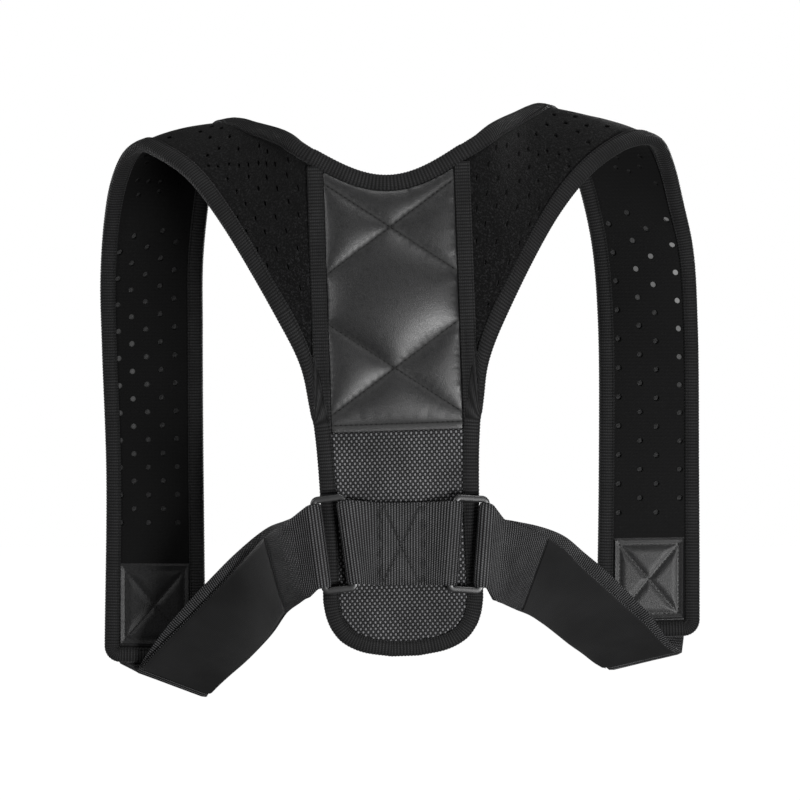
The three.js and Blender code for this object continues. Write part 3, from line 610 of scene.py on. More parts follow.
def grey(level):
    return (level, level, level * 1.03)


# %% [markdown]
# ### The laminate of straps and panel
# Outside it is a brushed loop cloth: very dull, with a speckle of single loops that catch light.
# Inside it is a smooth knitted lining, painted lighter toward +x as painted light. Both faces are
# one piece here, so a face attribute tells the shader which side it is on.


# %% Laminate
def laminate_finish():
    finish = Finish("punched_laminate", **{"Specular_IOR_Level": 0.1, "Sheen_Weight": 0.06, "Sheen_Roughness": 0.5})
    place = finish.object_place()
    lining = finish.node("ShaderNodeAttribute", {"attribute_name": "lining"}, output=2)
    fuzz = finish.noise(place, 780, 5, 0.75)
    flecks = finish.node("ShaderNodeValToRGB", {"stops": [(0.5, 0), (0.72, 1)]}, {0: fuzz})
    cloud = finish.noise(place, 22, 3, 0.5)
    x, y, z = finish.split(place)
    knit = (z * 2600).sine() * ((x * 2600).sine() * 0.5 + 0.5)
    outside = finish.colour(flecks * (0.5 + cloud), grey(0.0022), grey(0.026))
    # Painted light: the lining's colour grows lighter from x = -0.12 m to x = 0.16 m, as if more light fell on the +x
    # strap.
    painted_side_light = finish.node("ShaderNodeMapRange", {}, {0: x, 1: -0.12, 2: 0.16, 3: 0.0, 4: 1.0})
    inside = finish.colour(cloud * 0.4 + painted_side_light * 0.35 + knit * 0.08, grey(0.0008), grey(0.006))
    base = finish.node("ShaderNodeMix", {"data_type": "RGBA"}, {0: lining, 6: outside, 7: inside}, 2)
    roughness = 0.95 - lining * 0.2 - flecks * 0.15
    height = fuzz * (1 - lining * 0.85) + knit * lining * 0.12
    return finish.finish(base, roughness, height, 0.6 * MM)


laminate = laminate_finish()
print(laminate.name, "has", len(laminate.node_tree.nodes), "nodes")


# %% The dark lens in the holes, a sheet that stands in for shade
def shade_lens_finish():
    finish = Finish("hole_net", **{"Roughness": 0.7, "Specular IOR Level": 0.3})
    light = finish.node("ShaderNodeAttribute", {"attribute_name": "light"}, output=2)
    place = finish.object_place()
    x, y, z = finish.split(place)
    # Painted shade: the lens is nearly black and closes the hole, so the hole looks dark; its alpha lets through the
    # share of light set per hole.
    mesh = abs((x * 5200).sine()) * abs((z * 5200).sine())
    finish.tree.links.new((1 - light ** 0.5).socket, finish.shader.inputs["Alpha"])
    return finish.finish(finish.colour(mesh, grey(0.002), grey(0.03)), 0.7 - mesh * 0.3, mesh, 0.1 * MM)


hole_net = shade_lens_finish()

# %% [markdown]
# ### Leather, knitted tape, webbing, nylon, hook tape, plastic and thread
# The pad is polyurethane leather: a fine pebbled grain, broad highlights, and a slight cloudiness,
# with painted shade that darkens its colour along the quilting seams. The tapes and webbing carry
# their ribs in the mesh; their finish adds the threads that are too fine to model, and paints the
# crests of the weave lighter and its hollows darker, as painted highlight and shade.


# %% Leather
def leather_finish(name, level, shine):
    finish = Finish(name, **{"Specular_IOR_Level": shine})
    place = finish.object_place()
    cells = {"Vector": place, "Scale": 1000.0, "Randomness": 1.0}
    pebble = finish.node("ShaderNodeTexVoronoi", {"feature": "DISTANCE_TO_EDGE"}, cells)
    grain = finish.node("ShaderNodeValToRGB", {"stops": [(0.0, 0), (0.22, 1)]}, {0: pebble})
    cloud = finish.noise(place, 34, 4, 0.6)
    crease = finish.noise(place, 260, 5, 0.65)
    sewn = finish.node("ShaderNodeAttribute", {"attribute_name": "sewn"}, output=2)
    # Painted shade: the colour falls almost to black along the quilting seams, where the grooves would lie in shade;
    # the same band also makes the leather rougher there.
    seam_shade_factor = 1 - sewn * 0.95
    base = finish.colour((grain * 0.6 + cloud * 0.4) * seam_shade_factor, grey(level * 0.1), grey(level * 1.7))
    roughness = 0.38 + crease * 0.14 - cloud * 0.06 + sewn * 0.4
    height = grain * 0.5 + crease * 0.3
    return finish.finish(base, roughness, height, 0.07 * MM)


pad_leather = leather_finish("pad_leather", 0.014, 0.6)
patch_leather = leather_finish("patch_leather", 0.012, 0.3)


# %% Knitted binding
def binding_finish():
    finish = Finish("knitted_binding", **{"Specular_IOR_Level": 0.16, "Sheen_Weight": 0.12, "Sheen_Roughness": 0.4})
    u, v, _ = finish.split(finish.cloth_place())
    rib = (u * 3141.6).sine() * 0.5 + 0.5
    loops = abs((v * 2700 + rib * 0.9).sine())
    cloud = finish.noise(finish.object_place(), 60, 3)
    # Painted highlight and shade: rib crests and loops are painted lighter and the hollows between them darker; the
    # same pattern also drives roughness and bump.
    weave_relief_and_painted_light = (rib * 0.7 + 0.15) * (0.35 + loops * 0.65) * (0.5 + cloud)
    base = finish.colour(weave_relief_and_painted_light, grey(0.0012), grey(0.026))
    return finish.finish(base, 0.8 - weave_relief_and_painted_light * 0.2, weave_relief_and_painted_light, 0.2 * MM)


binding_knit = binding_finish()


# %% Woven webbing
def webbing_finish(name, pitch, slant):
    """Ribs across the band, each broken into thread crowns that are set aside from rib to rib; the crowns are painted
    light and the hollows dark, as painted highlight and shade.
    """
    finish = Finish(name, **{"Specular_IOR_Level": 0.14})
    u, v, _ = finish.split(finish.cloth_place())
    phase = (u + abs(v) * slant) * (2 * math.pi / pitch)
    rib = phase.sine() * 0.5 + 0.5
    crowns = (v * 4600 + phase * 0.5).sine() * 0.5 + 0.5
    cloud = finish.noise(finish.object_place(), 55, 3)
    # Painted highlight and shade: crowns are painted up to grey 0.12 and the hollows nearly black.
    weave_relief_and_painted_light = rib ** 1.4 * (0.35 + crowns * 0.65)
    base = finish.colour(weave_relief_and_painted_light * (0.4 + cloud * 1.1), grey(0.0006), grey(0.12))
    return finish.finish(base, 0.62 - weave_relief_and_painted_light * 0.24, weave_relief_and_painted_light, 0.2 * MM)


webbing = webbing_finish("woven_webbing", 1.7 * MM, 0.0)
side_weave = webbing_finish("side_webbing", 1.8 * MM, 0.0)


# %% Ballistic nylon
WEAVE_CELL = 1.52 * MM
WEAVE_RISE = 1.28


def ballistic_finish():
    finish = Finish("ballistic_nylon", **{"Specular_IOR_Level": 0.12})
    u, v, _ = finish.split(finish.cloth_place())
    over = (u * (math.pi / WEAVE_CELL)).sine() * (v * (math.pi / WEAVE_CELL / WEAVE_RISE)).sine()
    warp = finish.node("ShaderNodeMath", {"operation": "MAXIMUM"}, {0: over, 1: 0.0}) ** 0.8
    weft = finish.node("ShaderNodeMath", {"operation": "MAXIMUM"}, {0: 0 - over, 1: 0.0}) ** 0.8
    threads = abs((u * 13000).sine())
    cloud = finish.noise(finish.object_place(), 30, 4)
    # Painted highlight and shade: warp knuckles are painted light, up to grey 0.24, the weft less, the hollows nearly
    # black; the cloud paints broad patches of sheen over it.
    weave_relief_and_painted_light = (warp * (0.7 + threads * 0.3) + weft * 0.12) * (0.3 + cloud * 1.3)
    base = finish.colour(weave_relief_and_painted_light, grey(0.0005), grey(0.24))
    return finish.finish(base, 0.75 - warp * 0.4, warp * 0.9 + weft * 0.5 + threads * 0.08, 0.3 * MM)


ballistic = ballistic_finish()


# %% Hook tape
def hook_finish():
    finish = Finish("hook_tape", **{"Specular_IOR_Level": 0.2, "Sheen_Weight": 0.15, "Sheen_Roughness": 0.4})
    place = finish.cloth_place()
    u, v, _ = finish.split(place)
    cloud = finish.noise(finish.object_place(), 24, 3, 0.55)
    grain = finish.noise(place, 1500, 3, 0.6)
    rows = abs((u * 2400).sine())
    # Painted sheen: the cloud paints broad lighter patches into the colour, and the rows darken it faintly.
    base = finish.colour(cloud * 0.9 + grain * 0.15 - rows * 0.06, grey(0.002), grey(0.022))
    return finish.finish(base, 0.62 - cloud * 0.16, grain + rows * 0.4, 0.1 * MM)


hook_tape = hook_finish()


# %% Moulded plastic and thread
def plastic_finish():
    finish = Finish("ring_plastic", **{"Specular_IOR_Level": 0.9})
    place = finish.object_place()
    grain = finish.noise(place, 1400, 2)
    wear = finish.noise(place, 90, 4)
    base = finish.colour(wear, grey(0.01), grey(0.022))
    return finish.finish(base, 0.3 + wear * 0.16, grain, 0.03 * MM)


def thread_finish(name, level):
    finish = Finish(name, **{"Specular_IOR_Level": 0.3})
    place = finish.object_place()
    twist = finish.noise(place, 2600, 2)
    return finish.finish(finish.colour(twist, grey(level * 0.6), grey(level * 1.5)), 0.5 + twist * 0.2, twist, 0.05 * MM)


ring_plastic = plastic_finish()
dark_thread = thread_finish("dark_thread", 0.0015)
web_thread = thread_finish("web_thread", 0.02)
print("finishes:", [m.name for m in (laminate, pad_leather, binding_knit, webbing, ballistic, hook_tape, ring_plastic)])

# %% [markdown]
# ## The punched laminate
# The real straps are cut flat from a sheet that is punched full of small holes, and then sewn and
# bent over the shoulder. This piece is made the same way. A flat pattern is triangulated round its
# outline and round every hole, and each point is then laid on the curved surface, once for the outer
# face and once for the lining. Cutting the holes in a finished solid would leave ragged slivers.


# %% Flat patterns
def ring_points(centre, radius, count, turn=0.0):
    angles = np.linspace(0, 2 * np.pi, count, endpoint=False) + turn
    return np.stack([centre[0] + radius * np.cos(angles), centre[1] + radius * np.sin(angles)], 1)


def inside(points, outline):
    """Which points lie inside a closed outline."""
    x, y = points[:, 0][:, None], points[:, 1][:, None]
    x1, y1 = outline[:, 0][None], outline[:, 1][None]
    x2, y2 = np.roll(outline[:, 0], -1)[None], np.roll(outline[:, 1], -1)[None]
    crosses = (y1 > y) != (y2 > y)
    slope = np.where(y2 == y1, 1e-12, y2 - y1)
    return (crosses & (x < (x2 - x1) * (y - y1) / slope + x1)).sum(1) % 2 == 1


def from_outline(points, outline):
    """Distance of each point from the nearest point of a closely spaced outline."""
    return np.array([np.min(np.hypot(*(outline - point).T)) for point in points])


def flat_pattern(outline, holes, spacing, lines=(), rim=0.45 * MM, sides=14):
    """Triangles of a flat piece with round holes: points, triangles and the points on the holes' rims."""
    low, high = outline.min(0), outline.max(0)
    rows = np.arange(low[1], high[1] + spacing, spacing * 0.866)
    inner = np.array([(x + (k % 2) * spacing / 2, y) for k, y in enumerate(rows)
                      for x in np.arange(low[0], high[0] + spacing, spacing)])
    inner = inner[inside(inner, outline)]
    inner = inner[from_outline(inner, outline) > spacing * 0.5]
    for centre, radius in holes:
        inner = inner[np.hypot(*(inner - centre).T) > radius + rim + spacing * 0.4]
    for line in lines:
        inner = inner[from_outline(inner, line) > spacing * 0.45]
    points, edges = [outline], [(i, (i + 1) % len(outline)) for i in range(len(outline))]
    start = len(outline)
    rims = []
    for centre, radius in holes:
        points += [ring_points(centre, radius, sides), ring_points(centre, radius + rim, sides, np.pi / sides)]
        rims += list(range(start, start + sides))
        edges += [(start + i, start + (i + 1) % sides) for i in range(sides)]
        start += 2 * sides
    for line in lines:
        points.append(line)
        edges += [(start + i, start + i + 1) for i in range(len(line) - 1)]
        start += len(line)
    points = np.vstack([*points, inner])
    scale = 1000
    flat, _, triangles, source, _, _ = delaunay_2d_cdt(
        [Vector(point * scale) for point in points], edges, [], 0, 1e-5)
    flat = np.array([tuple(point) for point in flat]) / scale
    triangles = np.array(triangles)
    middles = flat[triangles].mean(1)
    keep = inside(middles, outline)
    for centre, radius in holes:
        keep &= np.hypot(*(middles - centre).T) > radius * 0.97
    came_from = [origin[0] if origin else -1 for origin in source]
    rim_set = set(rims)
    on_rim = np.array([origin in rim_set for origin in came_from])
    return flat, triangles[keep], on_rim


def thick_piece(name, flat, triangles, on_rim, upper, lower, sharp=35):
    """Two faces of the flat pattern with walls between them along every cut edge."""
    a, b, c = (flat[triangles[:, k]] for k in range(3))
    turned = (b - a)[:, 0] * (c - a)[:, 1] - (b - a)[:, 1] * (c - a)[:, 0] < 0
    triangles = np.where(turned[:, None], triangles[:, ::-1], triangles)
    count = len(flat)
    edges = {}
    for triangle in triangles.tolist():
        for i in range(3):
            pair = (triangle[i], triangle[(i + 1) % 3])
            edges[pair] = edges.get(pair, 0) + 1
    cut = [pair for pair in edges if pair[::-1] not in edges]
    walls = [(j, i, i + count, j + count) for i, j in cut]
    faces = triangles.tolist() + (triangles[:, ::-1] + count).tolist() + walls
    points = np.vstack([upper, lower])
    piece = make_mesh(name, points, faces, np.vstack([flat, flat]), sharp)
    face_outward(piece)
    lining = piece.data.attributes.new("lining", "FLOAT", "FACE")
    values = np.zeros(len(faces))
    values[len(triangles):] = 1
    lining.data.foreach_set("value", values)
    return piece


# %% Where the holes lie
WING_HOLE = 1.5 * MM
FRONT_HOLE = 1.9 * MM
WING_ROW = 13.4 * MM
FRONT_ALONG = {"left": 18.8 * MM, "right": 19.4 * MM}
FRONT_COLUMNS = {"left": [22.8, 13.8, 4, -6, -15.5], "right": [-20.7, -6.2, 4.8, 20.7]}
LAST_WING_HOLE = 225 * MM
FIRST_FRONT_HOLE = {"left": 93.6 * MM, "right": 83.2 * MM}


def wing_holes(cloth):
    """Level rows of holes down the wing, evenly spaced on the cloth and each set half a pitch aside."""
    near = cloth.along < LAST_WING_HOLE
    grid = cloth.points[near]
    column = grid[int(near.sum() * 0.98)::-1, 12]
    steps = np.concatenate([[0], np.cumsum(np.linalg.norm(np.diff(column, axis=0), axis=1))])
    lowest = grid[..., 2].min()
    heights = [np.interp(distance, steps, column[:, 2]) for distance in np.arange(0.3 * WING_ROW, steps[-1], WING_ROW)]
    while heights[-1] - WING_ROW > lowest:
        heights.append(heights[-1] - WING_ROW)
    holes = []
    for k, height in enumerate(heights):
        for x in np.arange(-200 * MM, 200 * MM, WING_ROW) + (k % 2) * WING_ROW / 2:
            off = np.hypot(grid[..., 0] - x, grid[..., 2] - height)
            r, c = np.unravel_index(np.argmin(off), off.shape)
            half = cloth.half[r]
            inset = half * (1 - abs(cloth.across[c]))
            if off[r, c] < 2.5 * MM and inset > 12.5 * MM and cloth.along[r] > 8 * MM:
                holes.append((np.array([cloth.along[r], cloth.across[c] * half]), WING_HOLE))
    return holes


def front_holes(side, last=245 * MM):
    """Staggered columns of holes down the chest."""
    holes = []
    for column, across in enumerate(FRONT_COLUMNS[side]):
        start = strap_cloth[side].run.length - FIRST_FRONT_HOLE[side] - (column % 2) * FRONT_ALONG[side] / 2
        for distance in np.arange(start, last, -FRONT_ALONG[side]):
            holes.append((np.array([distance, across * MM]), FRONT_HOLE))
    return holes


def through_light(side, hole):
    """How much light comes through a hole's dark lens: none on the wings, and on the chest a share set by column and by
    distance down the strap.
    """
    distance, across = strap_cloth[side].run.length - hole[0][0], hole[0][1] / MM
    if hole[1] < FRONT_HOLE:
        return 0.0
    if side == "left":
        return 0.06 * math.exp(-(((distance / MM - 190) / 45) ** 2) - (((across - 17) / 12) ** 2))
    if across > 10:
        return 0.24 * math.exp(-(((distance / MM - 245) / 50) ** 2))
    return 0.2 * math.exp(-(((distance / MM - 248) / 17) ** 2) - (((across - 1) / 9) ** 2))


def apart(holes, least):
    """Drops each hole that would touch an earlier one."""
    kept = []
    for centre, radius in holes:
        if all(np.hypot(*(centre - other)) > least for other, _ in kept):
            kept.append((centre, radius))
    return kept


# %% The shoulder straps
def strap_outline(cloth, spacing=2.6 * MM):
    """Outline of a strap in metres along and across, with rounded corners at its end."""
    length = cloth.run.length
    straight = np.arange(0, length - STRAP_CORNER, spacing)
    angles = np.linspace(0, np.pi / 2, 7)
    corner_a = length - STRAP_CORNER * (1 - np.sin(angles))
    corner_w = cloth.half_at(corner_a) - STRAP_CORNER * (1 - np.cos(angles))
    upper = np.vstack([np.stack([straight, cloth.half_at(straight)], 1), np.stack([corner_a, corner_w], 1)])
    lower = upper[::-1] * [1, -1]
    end = np.stack([np.full(19, length), np.linspace(corner_w[-1], -corner_w[-1], 21)[1:-1][:19]], 1)
    root_half = cloth.half_at(0)
    root = np.stack([np.zeros(60), np.linspace(-root_half, root_half, 62)[1:-1]], 1)
    return np.vstack([upper, end, lower, root])


def shoulder_strap(side):
    cloth = strap_cloth[side]
    outline = strap_outline(cloth)
    holes = apart(wing_holes(cloth) + front_holes(side), 7 * MM)
    flat, triangles, on_rim = flat_pattern(outline, holes, 3.6 * MM)
    share = flat[:, 1] / cloth.half_at(flat[:, 0])
    bevel = np.where(on_rim, 0.35 * MM, 0)
    upper = cloth.at(flat[:, 0], share, LAMINATE / 2 - bevel)
    lower = cloth.at(flat[:, 0], share, bevel - LAMINATE / 2)
    piece = thick_piece(f"{side}_punched_strap", flat, triangles, on_rim, upper, lower)
    piece.data.materials.append(laminate)
    report(piece)
    return piece, hole_shade_lenses(side, holes)


def hole_shade_lenses(side, holes, sides=14):
    """A dark lens with a net pattern half-way down each hole: a sheet that stands in for the shade seen through the
    holes, and lets through only the light set for each hole.
    """
    cloth = strap_cloth[side]
    points, faces, light = [], [], []
    for hole in holes:
        centre, radius = hole
        rim = ring_points(centre, radius, sides)
        middle = np.array([centre, centre])
        flat = np.vstack([rim, middle])
        level = np.array([0.0] * sides + [0.2 * MM, -0.2 * MM])
        start = len(points)
        points += cloth.at(flat[:, 0], flat[:, 1] / cloth.half_at(flat[:, 0]), level).tolist()
        for i in range(sides):
            here, there = start + i, start + (i + 1) % sides
            faces += [(start + sides, here, there), (start + sides + 1, there, here)]
        light += [through_light(side, hole)] * (2 * sides)
    piece = make_mesh(f"{side}_hole_shade_lenses", np.array(points), faces, smooth=False)
    face_outward(piece)
    shine = piece.data.attributes.new("light", "FLOAT", "FACE")
    shine.data.foreach_set("value", light)
    piece.data.materials.append(hole_net)
    report(piece)
    return piece


straps, shade_lenses = zip(*(shoulder_strap(side) for side in SIDES))
straps, shade_lenses = dict(zip(SIDES, straps)), dict(zip(SIDES, shade_lenses))


# %% The back panel
def panel_outline(inset=BINDING_EDGE, spacing=2.6 * MM):
    """Outline of the panel in its own x and z."""
    x = np.arange(-SEAM_SPACING / 2, SEAM_SPACING / 2 + spacing / 2, spacing)
    neck = np.stack([x, neck_edge(x)], 1)
    top = np.array([SEAM_SPACING / 2, PANEL_TOP - inset])
    waist = waist_outline(inset, 50)
    seam = top + (waist[0] - top) * np.linspace(0, 1, 60)[1:-1, None]
    right = np.vstack([seam, waist, foot_outline(inset, 26)[1:]])
    bottom_half = right[-1, 0]
    bottom = np.stack([np.linspace(bottom_half, -bottom_half, 8)[1:-1], np.full(6, right[-1, 1])], 1)
    return np.vstack([neck, right, bottom, right[::-1] * [-1, 1]])


def back_panel():
    outline = panel_outline()
    flat, triangles, on_rim = flat_pattern(outline, [], 5 * MM)
    upper = panel.at(flat[:, 1], flat[:, 0], LAMINATE / 2)
    lower = panel.at(flat[:, 1], flat[:, 0], -LAMINATE / 2)
    piece = thick_piece("padded_back_panel", flat, triangles, on_rim, upper, lower)
    piece.data.materials.append(laminate)
    report(piece)
    return piece


back = back_panel()

# %% [markdown]
# ## Ribs and stitches by Geometry Nodes
# Two things repeat all over the brace: the raised ribs of tape and webbing, and the stitches of every
# seam. Each gets one node tree with named inputs. The first lifts the points of a mesh by a wave of
# their flat coordinate. The second walks along a path, sets a small thread at every pitch, turns it
# to the path and to the cloth's normal, and makes real faces of the result.


# %% Running a tree
def new_tree(name, sizes):
    """A geometry tree with a mesh input, named size inputs and a mesh output."""
    tree = bpy.data.node_groups.new(name, "GeometryNodeTree")
    tree.interface.new_socket("Mesh", in_out="INPUT", socket_type="NodeSocketGeometry")
    tree.interface.new_socket("Mesh", in_out="OUTPUT", socket_type="NodeSocketGeometry")
    for size, kind in sizes.items():
        tree.interface.new_socket(size, in_out="INPUT", socket_type=kind)
    graph = Graph(tree)
    entry = tree.nodes.new("NodeGroupInput")
    inputs = {socket.name: Wire(graph, socket) for socket in entry.outputs if socket.name}
    return graph, inputs


def run_tree(piece, tree, **sizes):
    """Applies a tree to a piece and leaves a plain mesh."""
    modifier = piece.modifiers.new("nodes", "NODES")
    modifier.node_group = tree
    for item in tree.interface.items_tree:
        if item.in_out == "INPUT" and item.name in sizes:
            modifier[item.identifier] = sizes[item.name]
    bpy.context.view_layer.update()
    graph = bpy.context.evaluated_depsgraph_get()
    mesh = bpy.data.meshes.new_from_object(piece.evaluated_get(graph), preserve_all_data_layers=True, depsgraph=graph)
    old, piece.data = piece.data, mesh
    piece.modifiers.clear()
    mesh.name = piece.name
    bpy.data.meshes.remove(old)
    return piece


# %% Ribs that follow the flat coordinate
def rib_tree():
    graph, given = new_tree("raised_ribs", {
        "Pitch": "NodeSocketFloat", "Depth": "NodeSocketFloat", "Slant": "NodeSocketFloat",
        "Finish": "NodeSocketMaterial"})
    flat = graph.node("GeometryNodeInputNamedAttribute", {"data_type": "FLOAT_VECTOR"}, {"Name": "cloth"})
    axes = graph.node("ShaderNodeSeparateXYZ", {}, {0: flat})
    u, v = (Wire(graph, axes.socket.node.outputs[k]) for k in range(2))
    wave = ((u + abs(v) * given["Slant"]) / given["Pitch"] * (2 * math.pi)).sine()
    lift = (wave * 0.5 + 0.5) * given["Depth"]
    normal = graph.node("GeometryNodeInputNormal")
    offset = graph.node("ShaderNodeVectorMath", {"operation": "SCALE"}, {0: normal, 3: lift})
    moved = graph.node("GeometryNodeSetPosition", {}, {"Geometry": given["Mesh"], "Offset": offset})
    real = graph.node("GeometryNodeRealizeInstances", {}, {0: moved})
    dressed = graph.node("GeometryNodeSetMaterial", {}, {0: real, "Material": given["Finish"]})
    graph.node("NodeGroupOutput", {}, {0: dressed})
    return graph.tree


# %% Basket weave
def weave_tree():
    graph, given = new_tree("basket_weave", {
        "Cell": "NodeSocketFloat", "Depth": "NodeSocketFloat", "Finish": "NodeSocketMaterial"})
    flat = graph.node("GeometryNodeInputNamedAttribute", {"data_type": "FLOAT_VECTOR"}, {"Name": "cloth"})
    axes = graph.node("ShaderNodeSeparateXYZ", {}, {0: flat})
    u, v = (Wire(graph, axes.socket.node.outputs[k]) for k in range(2))
    warp = (u / given["Cell"] * math.pi).sine()
    weft = (v / given["Cell"] * (math.pi / WEAVE_RISE)).sine()
    over = warp * weft
    lift = abs(over) ** 0.7 * (over * 0.25 + 0.75) * given["Depth"]
    normal = graph.node("GeometryNodeInputNormal")
    offset = graph.node("ShaderNodeVectorMath", {"operation": "SCALE"}, {0: normal, 3: lift})
    moved = graph.node("GeometryNodeSetPosition", {}, {"Geometry": given["Mesh"], "Offset": offset})
    real = graph.node("GeometryNodeRealizeInstances", {}, {0: moved})
    dressed = graph.node("GeometryNodeSetMaterial", {}, {0: real, "Material": given["Finish"]})
    graph.node("NodeGroupOutput", {}, {0: dressed})
    return graph.tree


# %% Stitches along a path
def stitch_tree():
    graph, given = new_tree("thread_stitches", {
        "Pitch": "NodeSocketFloat", "Length": "NodeSocketFloat", "Thickness": "NodeSocketFloat",
        "Finish": "NodeSocketMaterial"})
    curve = graph.node("GeometryNodeMeshToCurve", {}, {"Mesh": given["Mesh"]})
    even = graph.node("GeometryNodeResampleCurve", {"mode": "LENGTH"}, {"Curve": curve, "Length": given["Pitch"]})
    ball = graph.node("GeometryNodeMeshUVSphere", {}, {"Segments": 5, "Rings": 4, "Radius": 0.5})
    size = graph.node("ShaderNodeCombineXYZ", {}, {
        0: given["Length"], 1: given["Thickness"], 2: given["Thickness"]})
    thread = graph.node("GeometryNodeTransform", {}, {"Geometry": ball, "Scale": size})
    tangent = graph.node("GeometryNodeInputTangent")
    outward = graph.node("GeometryNodeInputNamedAttribute", {"data_type": "FLOAT_VECTOR"}, {"Name": "out"})
    lengthwise = graph.node("FunctionNodeAlignRotationToVector", {"axis": "X"}, {"Vector": tangent})
    upright = graph.node("FunctionNodeAlignRotationToVector", {"axis": "Z", "pivot_axis": "X"}, {
        "Rotation": lengthwise, "Vector": outward})
    placed = graph.node("GeometryNodeInstanceOnPoints", {}, {
        "Points": even, "Instance": thread, "Rotation": upright})
    real = graph.node("GeometryNodeRealizeInstances", {}, {0: placed})
    smooth = graph.node("GeometryNodeSetShadeSmooth", {}, {0: real})
    dressed = graph.node("GeometryNodeSetMaterial", {}, {0: smooth, "Material": given["Finish"]})
    graph.node("NodeGroupOutput", {}, {0: dressed})
    return graph.tree


ribs, basket_weave, stitches = rib_tree(), weave_tree(), stitch_tree()


def stitch_rows(name, paths, pitch, length, thickness, finish):
    """One piece with a thread at every pitch of each path; a path is its points and their normals."""
    points = np.vstack([path for path, _ in paths])
    normals = np.vstack([np.broadcast_to(normal, path.shape) for path, normal in paths])
    edges, start = [], 0
    for path, _ in paths:
        edges += [(start + i, start + i + 1) for i in range(len(path) - 1)]
        start += len(path)
    mesh = bpy.data.meshes.new(name)
    mesh.from_pydata(points.tolist(), edges, [])
    out = mesh.attributes.new("out", "FLOAT_VECTOR", "POINT")
    out.data.foreach_set("vector", normals.ravel())
    piece = bpy.data.objects.new(name, mesh)
    collection.objects.link(piece)
    run_tree(piece, stitches, Pitch=pitch, Length=length, Thickness=thickness, Finish=finish)
    report(piece)
    return piece


print("trees:", ribs.name, basket_weave.name, stitches.name)

# %% [markdown]
# ## The bindings
# A knitted tape, 16 mm wide, is folded over every cut edge and sewn down through both of its legs.
# One runs round the neck and down the inner edges, the other round the arms and the foot. The tape
# is swept along the edge as one folded section. Its nose is round, its legs lie on the cloth, and a
# shallow groove shows where the stitches pull it in. The ribs come from the rib tree.

# %% Section of the folded tape, outside and then inside
OUTER_SKIN = [(8.3, 2.1), (8.05, 3.15), (7.5, 3.5), (6.9, 3.1), (6.2, 3.5), (3.6, 3.72), (0.9, 3.5),
              (-0.8, 2.7), (-1.45, 1.4)]
INNER_SKIN = [(7.8, 2.1), (-0.2, 2.05)]
SECTION = ([(q, h) for q, h in OUTER_SKIN] + [(-1.7, 0)] + [(q, -h) for q, h in OUTER_SKIN[::-1]]
           + [(q, -h) for q, h in INNER_SKIN] + [(q, h) for q, h in INNER_SKIN[::-1]])


# %% Reading a cut edge
def edge_stretch(cloth, path, inner, spacing=0.5 * MM):
    """Even stations along a cut edge: place, normal, way outward, and flat steps for a way inward."""
    line = cloth.at(path[:, 0], path[:, 1])
    distance = np.concatenate([[0], np.cumsum(np.linalg.norm(np.diff(line, axis=0), axis=1))])
    wanted = np.arange(0, distance[-1], spacing)
    a, b = (np.interp(wanted, distance, path[:, k]) for k in range(2))
    inner_a, inner_b = (np.interp(wanted, distance, inner[:, k]) for k in range(2))
    place, normal = cloth.at(a, b), cloth.normal(a, b)
    tangent = unit(np.gradient(place, axis=0))
    outward = unit(np.cross(tangent, normal))
    flipped = np.einsum("ij,ij->i", outward, place - cloth.at(inner_a, inner_b)) < 0
    outward[flipped] *= -1
    outward = unit(rolling_mean(outward, 4))

    def slope(step_a, step_b):
        a0, a1 = (np.clip(a + s * step_a, cloth.along[0], cloth.along[-1]) for s in (-1, 1))
        b0, b1 = (np.clip(b + s * step_b, cloth.across[0], cloth.across[-1]) for s in (-1, 1))
        run = (a1 - a0) + (b1 - b0)
        return (cloth.at(a1, b1) - cloth.at(a0, b0)) / run[:, None]

    width = cloth.across[-1] - cloth.across[0]
    by_a, by_b = slope(1 * MM, 0), slope(0, width * 0.01)
    aa, ab, bb = (np.einsum("ij,ij->i", p, q) for p, q in ((by_a, by_a), (by_a, by_b), (by_b, by_b)))
    va, vb = (-np.einsum("ij,ij->i", p, outward) for p in (by_a, by_b))
    bottom = aa * bb - ab * ab
    step_a, step_b = (va * bb - vb * ab) / bottom, (vb * aa - va * ab) / bottom

    def leg(q):
        return cloth.at(a + step_a * q, b + step_b * q), cloth.normal(a + step_a * q, b + step_b * q)

    return {"place": place, "normal": normal, "outward": outward, "leg": leg}


def section_points(stretches, q, h):
    """The points of one line of the section along all stretches."""
    rows = []
    for stretch in stretches:
        if q > 0:
            place, normal = stretch["leg"](q * MM)
        else:
            place, normal = stretch["place"] - stretch["outward"] * q * MM, stretch["normal"]
        rows.append(place + normal * h * MM)
    return rolling_mean(np.vstack(rows), 3)


def binding(name, stretches):
    """A folded tape along stretches of cut edge."""
    rings = np.stack([section_points(stretches, q, h) for q, h in SECTION], 1)
    nose = rings[:, len(OUTER_SKIN)]
    along = np.concatenate([[0], np.cumsum(np.linalg.norm(np.diff(nose, axis=0), axis=1))])
    girth = np.concatenate([[0], np.cumsum(np.hypot(*np.diff(np.array(SECTION), axis=0).T))]) * MM
    uv = np.stack(np.broadcast_arrays(along[:, None], girth[None]), -1).reshape(-1, 2)
    piece = swept(name, rings, uv)
    run_tree(piece, ribs, Pitch=2 * MM, Depth=0.28 * MM, Slant=0.0, Finish=binding_knit)
    report(piece)
    return piece, (round(girth[-1] / 2, 4), round(along[-1], 4))


def edge_stitches(name, stretches):
    """The seam through the legs of a binding, on both faces."""
    paths = []
    for h in (3.3, -3.3):
        line = section_points(stretches, 6.9, h)[::3]
        normals = np.vstack([stretch["leg"](6.9 * MM)[1] for stretch in stretches])[::3]
        paths.append((line, normals * np.sign(h)))
    return stitch_rows(name, paths, 2.9 * MM, 2.3 * MM, 0.55 * MM, dark_thread)


